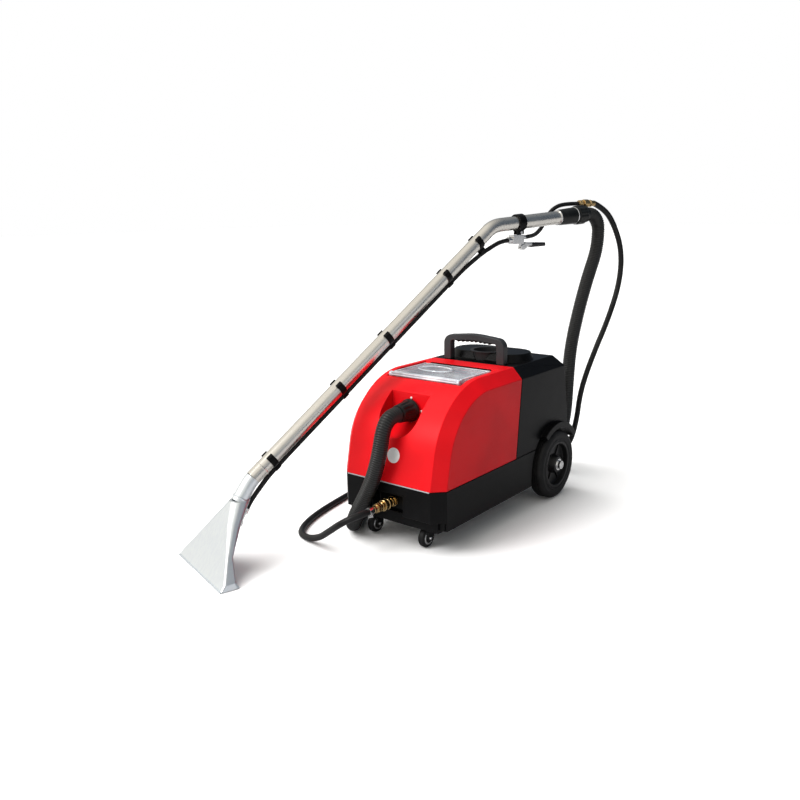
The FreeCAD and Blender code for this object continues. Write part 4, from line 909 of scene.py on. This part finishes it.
class CLEANER_OT_casters(Operator):
    """Make the two swivel casters with their bright bearing rings"""
    bl_idname = "cleaner.casters"
    bl_label = "Casters"

    def execute(self, context):
        softened("caster_mounts", 0.0006)
        for side in ("right", "left"):
            fork, wheel = "caster_fork_" + side, "caster_tyre_" + side
            softened(fork, 0.0006)
            low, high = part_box(wheel)
            hub = aimed((low + high) / 2, (1, 0, 0), (0, 1, 0))
            right, left = mirrored(((16, 9), (20.5, 9), (22.6, 8.2), (24.4, 6), (25, 4)))
            tyre = turned(right + left, 72)
            finish(moved(tyre, hub), "caster_tread_" + side, "tyre_rubber", wheel, crease=50)
            right, left = mirrored(((4.05, 9), (8, 9), (9, 7), (16, 7)))
            core = turned(right + left, 64)
            finish(moved(core, hub), "caster_core_" + side, "wheel_plastic", "caster_hub_" + side)
            rings = [turned((
                (end * 9.3, 12.4), (end * 9.9, 12.8), (end * 9.9, 16.4), (end * 9.2, 17.2), (end * 7, 17.2),
                (end * 7, 12.4),
            ), 64) for end in (-1, 1)]
            finish(moved(joined(*rings), hub), "caster_ring_" + side, "bright_steel", wheel, extra=True)
            finish(joined(*self.rivets(fork, hub.translation)), "caster_rivets_" + side, "bright_steel", fork,
                   extra=True)
        return {"FINISHED"}

    def rivets(self, fork, middle):
        """The domed ends of the wheel's pin, on the fork's two faces."""
        low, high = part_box(fork)
        ends = []
        for end, face in ((-1, low.x), (1, high.x)):
            cap = turned(((-0.5, 0), (-0.5, 4.6), (0.6, 4.4), (1.5, 3.4), (2.0, 1.8), (2.0, 0)), 24)
            ends.append(moved(cap, aimed(Vector((face, middle.y, middle.z)), (end, 0, 0), (0, 1, 0))))
        return ends


class CLEANER_OT_rear_panel(Operator):
    """Finish the switches, the cable gland and the drain tap on the back"""
    bl_idname = "cleaner.rear_panel"
    bl_label = "Rear Panel"

    def execute(self, context):
        soften({"switch_plate": 0.0006, "vacuum_switch": 0.0012, "pump_switch": 0.0012,
                "cable_gland": 0.0004, "drain_valve": 0.0004, "drain_lever": 0.0008})
        screws = []
        for x, z in ((-99, 103), (-99, 141), (-17, 103), (-17, 141)):
            head = turned(((0, 0), (0, 3), (0.9, 2.9), (1.6, 2.2), (1.9, 1.2), (1.9, 0)), 24)
            screws.append(moved(head, aimed(machine(x, 625, z), (0, 1, 0))))
        finish(joined(*screws), "plate_screws", "bright_steel", "switch_plate", extra=True)
        return {"FINISHED"}


class CLEANER_OT_inlet_screws(Operator):
    """Make the four domed screws round the hose inlet"""
    bl_idname = "cleaner.inlet_screws"
    bl_label = "Inlet Screws"

    def execute(self, context):
        ring = 31
        heads = []
        for angle in (0, 90, 180, 270):
            x = ring * math.cos(math.radians(angle))
            z = INLET_HEIGHT + ring * math.sin(math.radians(angle))
            head = turned((
                (-14, 0), (-14, 1.5), (0, 1.5), (0, 3.2), (0.9, 3.1), (1.7, 2.4), (2.1, 1.2), (2.1, 0),
            ), 24)
            heads.append(moved(head, aimed(machine(x, 104, z), (0, -1, 0))))
        finish(joined(*heads), "domed_screws", "screw_white", "inlet_screws")
        return {"FINISHED"}


# ---- wand -----------------------------------------------------------------------------------

class CLEANER_OT_floor_head(Operator):
    """Finish the folded floor head, with its lip, its weld and the jet under its throat"""
    bl_idname = "cleaner.floor_head"
    bl_label = "Floor Head"

    def execute(self, context):
        soften({"floor_head": 0.0006, "wand_neck": 0.0003})
        softened("spray_jet", 0.0003, look="bright_steel")
        lip = [block((-131, wall - 1.2, 0.2), (131, wall + 1.2, 4.2), 0.0009) for wall in (0, 45)]
        finish(moved(joined(*lip), WAND), "head_lip", "head_metal", "floor_head", extra=True)
        self.throat()
        self.line_end()
        return {"FINISHED"}

    def throat(self):
        """The closed end of the throat and the weld round the neck."""
        cover = turned(((-6, 0), (-6, 19.2), (-0.6, 19.2), (0.2, 18.4), (0.2, 0)), 64)
        cover.transform(Matrix.Translation((0, 0.116, 0.1588)) @ Matrix.Diagonal((1.03, 1.26, 1.0, 1.0)))
        weld = turned(((-2.4, 18.6), (-1.8, 20.2), (0, 21), (1.8, 20.2), (2.4, 18.6)), 64)
        weld = reshaped(weld, lambda angle, along, radius: 1 + 0.012 * math.sin(26 * angle))
        weld.transform(aimed((0, 0.118, 0.161), (0, 30, 41)))
        finish(moved(joined(cover, weld), WAND), "throat_weld", "head_metal", "floor_head", extra=True)

    def line_end(self):
        """The pressure line's last stretch to the jet, with its ferrule."""
        run = bent_rod(((0, .166, .173), (0, .1573, .1632), (0, .140, .144), (0, .131, .1285)), LINE_RADIUS)
        finish(moved(run, WAND), "pressure_line_end", "hose_rubber", "pressure_hose", extra=True)
        ferrule = turned((
            (0, 3.6), (0, 6.4), (1, 7), (5, 7), (6, 6.2), (8, 6.2), (9, 7), (12, 7), (13, 6), (13, 3.6),
        ), 40)
        ferrule.transform(aimed((0, 0.133, 0.132), (0, -28, -48)))
        finish(moved(ferrule, WAND), "jet_ferrule", "bright_steel", "spray_jet", extra=True)


class CLEANER_OT_wand_tube(Operator):
    """Make the polished bent tube with its swaged joint"""
    bl_idname = "cleaner.wand_tube"
    bl_label = "Wand Tube"

    def execute(self, context):
        softened("wand_tube", 0.0004)
        swage = turned(((0, 19.02), (0, 19.5), (1, 20.2), (3, 20.2), (4, 19.5), (4, 19.02)), 72)
        finish(moved(swage, on_tube(0.176)), "tube_joint", "tube_chrome", "wand_tube", extra=True)
        return {"FINISHED"}


class CLEANER_OT_straps(Operator):
    """Make the five spring straps that hold the pressure line under the tube"""
    bl_idname = "cleaner.straps"
    bl_label = "Hose Straps"

    def execute(self, context):
        gap = context.scene.cleaner_wand.strap_gap
        straps = [moved(self.strap(gap), on_tube(along * MM)) for along in (201, 399, 545, 738, 848)]
        finish(joined(*straps), "spring_straps", "band_black", "hose_bands")
        return {"FINISHED"}

    def strap(self, gap):
        """An open band round the tube with two turned-out tips, and a closed loop round the line."""
        arc = turned(self.section(TUBE_BORE, 20.9, 21.4), 44, angle=math.tau - gap)
        arc.transform(Matrix.Rotation(-math.pi / 2 + gap / 2, 4, "Z"))
        loop = turned(self.section(6.05, 7.8, 8.3), 36)
        loop.transform(Matrix.Translation((0, LINE_DROP, 0)))
        tips = []
        for side in (-1, 1):
            tip = block((-4.0, -0.8, -8.5), (4.0, 3.0, 8.5), 0.0009)
            angle = side * (math.pi - gap / 2)
            tips.append(moved(tip, Matrix.Rotation(angle, 4, "Z") @ Matrix.Translation((0, 0.0208, 0))
                              @ Matrix.Rotation(side * 0.3, 4, "Z")))
        return joined(arc, loop, *tips)

    def section(self, inner, shoulder, outer, half=8.5):
        """A strip's section, with its outer edges eased."""
        return ((-half, inner), (-half, shoulder), (0.8 - half, outer), (half - 0.8, outer), (half, shoulder),
                (half, inner))


class CLEANER_OT_valve(Operator):
    """Finish the trigger valve: clamp, block, pins and the lever with its dipped grip"""
    bl_idname = "cleaner.valve"
    bl_label = "Trigger Valve"

    def execute(self, context):
        soften({"valve_clamp": 0.0009, "valve_body": 0.0008, "valve_pins": 0.0004, "pressure_hose": 0.0003})
        finish(rounded(copy_of("valve_lever"), 0.0012), "trigger_lever", "bright_steel", "valve_lever")
        grip = block((-8.8, 1046, 712.4), (8.8, 1101, 726.4), 0.003)
        for vert in grip.verts:
            drop = (vert.co.y - 1.046) / 0.055
            vert.co.z = 0.7195 + (vert.co.z - 0.7194) * (1 - 0.25 * drop)
        finish(moved(grip, WAND), "lever_grip", "lever_black", "valve_lever", extra=True)
        return {"FINISHED"}


class CLEANER_OT_wand_end(Operator):
    """Make the wand's cuff, its swivel collar with finger flutes, and the hose coupler"""
    bl_idname = "cleaner.wand_end"
    bl_label = "Wand End"

    def execute(self, context):
        cuff = turned((
            (0, TUBE_BORE), (0, 20.6), (0.8, 21.4), (6, 22.5), (30, 23.2), (60, 24), (66, 24.1), (67.2, 23.6),
            (68, 22.8), (68, TUBE_BORE),
        ), 80)
        finish(moved(cuff, on_handle(CUFF_START)), "cuff_moulding", "cuff_rubber", "wand_cuff")
        rings = [turned((
            (low, 19.1), (low, radius), (low + 0.6, radius + 0.7), (low + 2.4, radius + 0.7),
            (low + 3, radius), (low + 3, 19.1),
        ), 80) for low, radius in ((-3.2, 21.2), (63.6, 24.2))]
        finish(moved(joined(*rings), on_handle(CUFF_START)), "cuff_rings", "bright_steel", "wand_cuff",
               extra=True)
        collar = turned((
            (0, TUBE_BORE), (0, 25), (1.2, 26.2), (4, 27.3), (5, 27.5), (31, 27.5), (33, 26.6), (36, 25.2),
            (38, 24.6), (45, 24), (46, 23.2), (46, 20.3), (38, 20.3), (38, 17.5), (32, 17.5), (32, TUBE_BORE),
        ), 120)
        collar = fluted(collar, count=12, depth=1.9, low=3, high=34)
        finish(moved(collar, on_handle(COLLAR_START)), "collar_moulding", "cuff_rubber", "swivel_collar",
               crease=45)
        self.coupler()
        return {"FINISHED"}

    def coupler(self):
        """The brass coupler between the whip and the solution hose, with its sleeve."""
        barrel = turned((
            (0, 3), (0, 7.4), (1, 8), (3, 8.4), (4, 9.4), (5, 10), (9, 10), (9.8, 9.2), (11, 9.2),
            (11.8, 10), (15, 10), (16, 9.6), (18, 8), (48, 8), (50, 10), (55, 10), (56, 9.6), (57, 8.5),
            (69, 8.5), (69, 3),
        ), 48)
        nut = hexagon(10.8, 50.5, 56, 0.0005)
        where = WAND @ aimed(COUPLER_START, (0, 1, 0))
        finish(moved(joined(barrel, nut), where), "coupler_barrel", "brass", "wand_coupler")
        sleeve = turned((
            (22, 8.05), (22, 10.6), (22.8, 11.6), (24, 12), (40, 12), (41.4, 11.6), (42, 10.8), (42, 8.05),
        ), 96)
        sleeve = knurled(sleeve, 40, bands=((23.5, 40.5),))
        finish(moved(sleeve, where), "coupler_grip", "brass", "wand_coupler_sleeve")


# ---- what is left of the CAD, and the stage -------------------------------------------------

class CLEANER_OT_inner_parts(Operator):
    """Give every CAD node that still shows, inside the body, the material of its slot"""
    bl_idname = "cleaner.inner_parts"
    bl_label = "Inner Parts"

    def execute(self, context):
        for name, node in frame["nodes"].items():
            node.data.materials.clear()
            node.data.materials.append(LOOKS[SLOT_OF[name]])
        return {"FINISHED"}


def lamp(name, kind, power, way):
    """A lamp that shines along a direction."""
    light = bpy.data.lights.new(name, kind)
    light.energy = power
    holder = bpy.data.objects.new(name, light)
    bpy.context.scene.collection.objects.link(holder)
    holder.rotation_euler = way.to_track_quat("-Z", "Y").to_euler()
    return holder


def area_light(name, place, target, size, power):
    """A round soft lamp at a place, aimed at another."""
    holder = lamp(name, "AREA", power, target - place)
    holder.location = place
    holder.data.shape = "DISK"
    holder.data.size = size


class CLEANER_OT_stage(Operator):
    """Set the pale floor, the soft studio light and the camera"""
    bl_idname = "cleaner.stage"
    bl_label = "Stage and Camera"

    def execute(self, context):
        settings = context.scene.cleaner_stage
        self.floor(context)
        middle = machine(0, 200, 250)
        area_light("key", machine(-1500, -3000, 2700), middle, 1.8, settings.key)
        area_light("fill", machine(2600, -300, 1400), middle, 1.6, settings.fill)
        overhead = lamp("overhead", "SUN", settings.sun, Vector((0.42, 0.30, -1.0)))
        overhead.data.angle = math.radians(50)
        overhead.visible_glossy = False
        self.sky(context)
        self.camera(context, settings.lens)
        context.scene.view_settings.view_transform = "Standard"
        return {"FINISHED"}

    def floor(self, context):
        """A wide sheet, white to the eye and paler grey to the light that it throws back."""
        bm = bmesh.new()
        bmesh.ops.create_grid(bm, x_segments=1, y_segments=1, size=30.0)
        mesh = bpy.data.meshes.new("floor")
        bm.to_mesh(mesh)
        bm.free()
        floor = bpy.data.objects.new("floor", mesh)
        context.scene.collection.objects.link(floor)
        look = Look("floor_paper", Roughness=0.9, Specular_IOR_Level=0.0)
        seen = look.node("ShaderNodeLightPath", output="Is Camera Ray")
        mesh.materials.append(look.wear(Base_Color=look.mix(seen, (0.42, 0.42, 0.43), (0.97, 0.97, 0.975))))

    def sky(self, context):
        """White behind the object; to the light, bright on the left and dark on the right."""
        world = bpy.data.worlds.new("studio")
        world.use_nodes = True
        nodes = Nodes(world.node_tree)
        place = nodes.node("ShaderNodeTexCoord", output="Generated")
        bright_side = Vector((-0.48, -0.72, 0.50)).normalized()
        side = nodes.node("ShaderNodeVectorMath", {"operation": "DOT_PRODUCT"}, {0: place, 1: bright_side},
                          output="Value")
        reach = nodes.node("ShaderNodeMapRange", None, {"Value": side, "From Min": -1.0})
        tone = nodes.node("ShaderNodeValToRGB", {"stops": (
            (0.0, (0.06, 0.075, 0.10)), (0.38, (0.10, 0.125, 0.16)), (0.6, (0.44, 0.44, 0.43)),
            (0.8, (0.88, 0.85, 0.79)), (1.0, (0.88, 0.85, 0.79)),
        )}, {0: reach})
        white = nodes.node("ShaderNodeBackground", None, {"Color": (1.0, 1.0, 1.0)})
        back = nodes.tree.nodes["Background"]
        nodes.feed(back.inputs["Color"], tone)
        seen = nodes.node("ShaderNodeLightPath", output="Is Camera Ray")
        lit = Value(nodes, back.outputs[0])
        choice = nodes.node("ShaderNodeMixShader", None, {0: seen, 1: lit, 2: white})
        nodes.feed(nodes.tree.nodes["World Output"].inputs["Surface"], choice)
        context.scene.world = world

    def camera(self, context, lens):
        """The camera, turned about the upright, tipped down and rolled a little."""
        azimuth, tip, roll = math.radians(39.03), math.radians(13.37), math.radians(-1.01)
        data = bpy.data.cameras.new("camera")
        data.lens = lens
        data.clip_end = 100.0
        camera = bpy.data.objects.new("camera", data)
        context.scene.collection.objects.link(camera)
        camera.matrix_world = (
            Matrix.Translation(machine(1223, -1451, 827)) @ Matrix.Rotation(azimuth, 4, "Z")
            @ Matrix.Rotation(math.pi / 2 - tip, 4, "X") @ Matrix.Rotation(roll, 4, "Z"))
        context.scene.camera = camera


OPERATORS = (
    CLEANER_OT_stage, CLEANER_OT_inner_parts, CLEANER_OT_vacuum_hose, CLEANER_OT_solution_hose,
    CLEANER_OT_front_cuff, CLEANER_OT_coupling, CLEANER_OT_shells, CLEANER_OT_lid, CLEANER_OT_carry_handle,
    CLEANER_OT_badge, CLEANER_OT_rear_wheels, CLEANER_OT_casters, CLEANER_OT_rear_panel,
    CLEANER_OT_inlet_screws, CLEANER_OT_floor_head, CLEANER_OT_wand_tube, CLEANER_OT_straps,
    CLEANER_OT_valve, CLEANER_OT_wand_end,
)
SETTINGS = {
    "cleaner_shell": ShellSettings, "cleaner_hoses": HoseSettings, "cleaner_wheels": WheelSettings,
    "cleaner_wand": WandSettings, "cleaner_stage": StageSettings,
}


class CLEANER_PT_panel(Panel):
    """Lists the settings and the operators that build the object"""
    bl_label = "Carpet Cleaner"
    bl_idname = "CLEANER_PT_panel"
    bl_space_type = "VIEW_3D"
    bl_region_type = "UI"
    bl_category = "Carpet Cleaner"

    def draw(self, context):
        for name, group in SETTINGS.items():
            box = self.layout.box()
            for prop in group.__annotations__:
                box.prop(getattr(context.scene, name), prop)
        for operator in OPERATORS:
            self.layout.operator(operator.bl_idname)


def register():
    for item in (*SETTINGS.values(), *OPERATORS, CLEANER_PT_panel):
        bpy.utils.register_class(item)
    for name, group in SETTINGS.items():
        setattr(bpy.types.Scene, name, PointerProperty(type=group))


def unregister():
    for name in SETTINGS:
        delattr(bpy.types.Scene, name)
    for item in reversed((*SETTINGS.values(), *OPERATORS, CLEANER_PT_panel)):
        bpy.utils.unregister_class(item)


def main():
    register()
    build_looks(bpy.context.scene)
    for operator in OPERATORS:
        getattr(bpy.ops.cleaner, operator.bl_idname.split(".")[1])()
    bpy.context.view_layer.update()


if __name__ == "__main__":
    main()
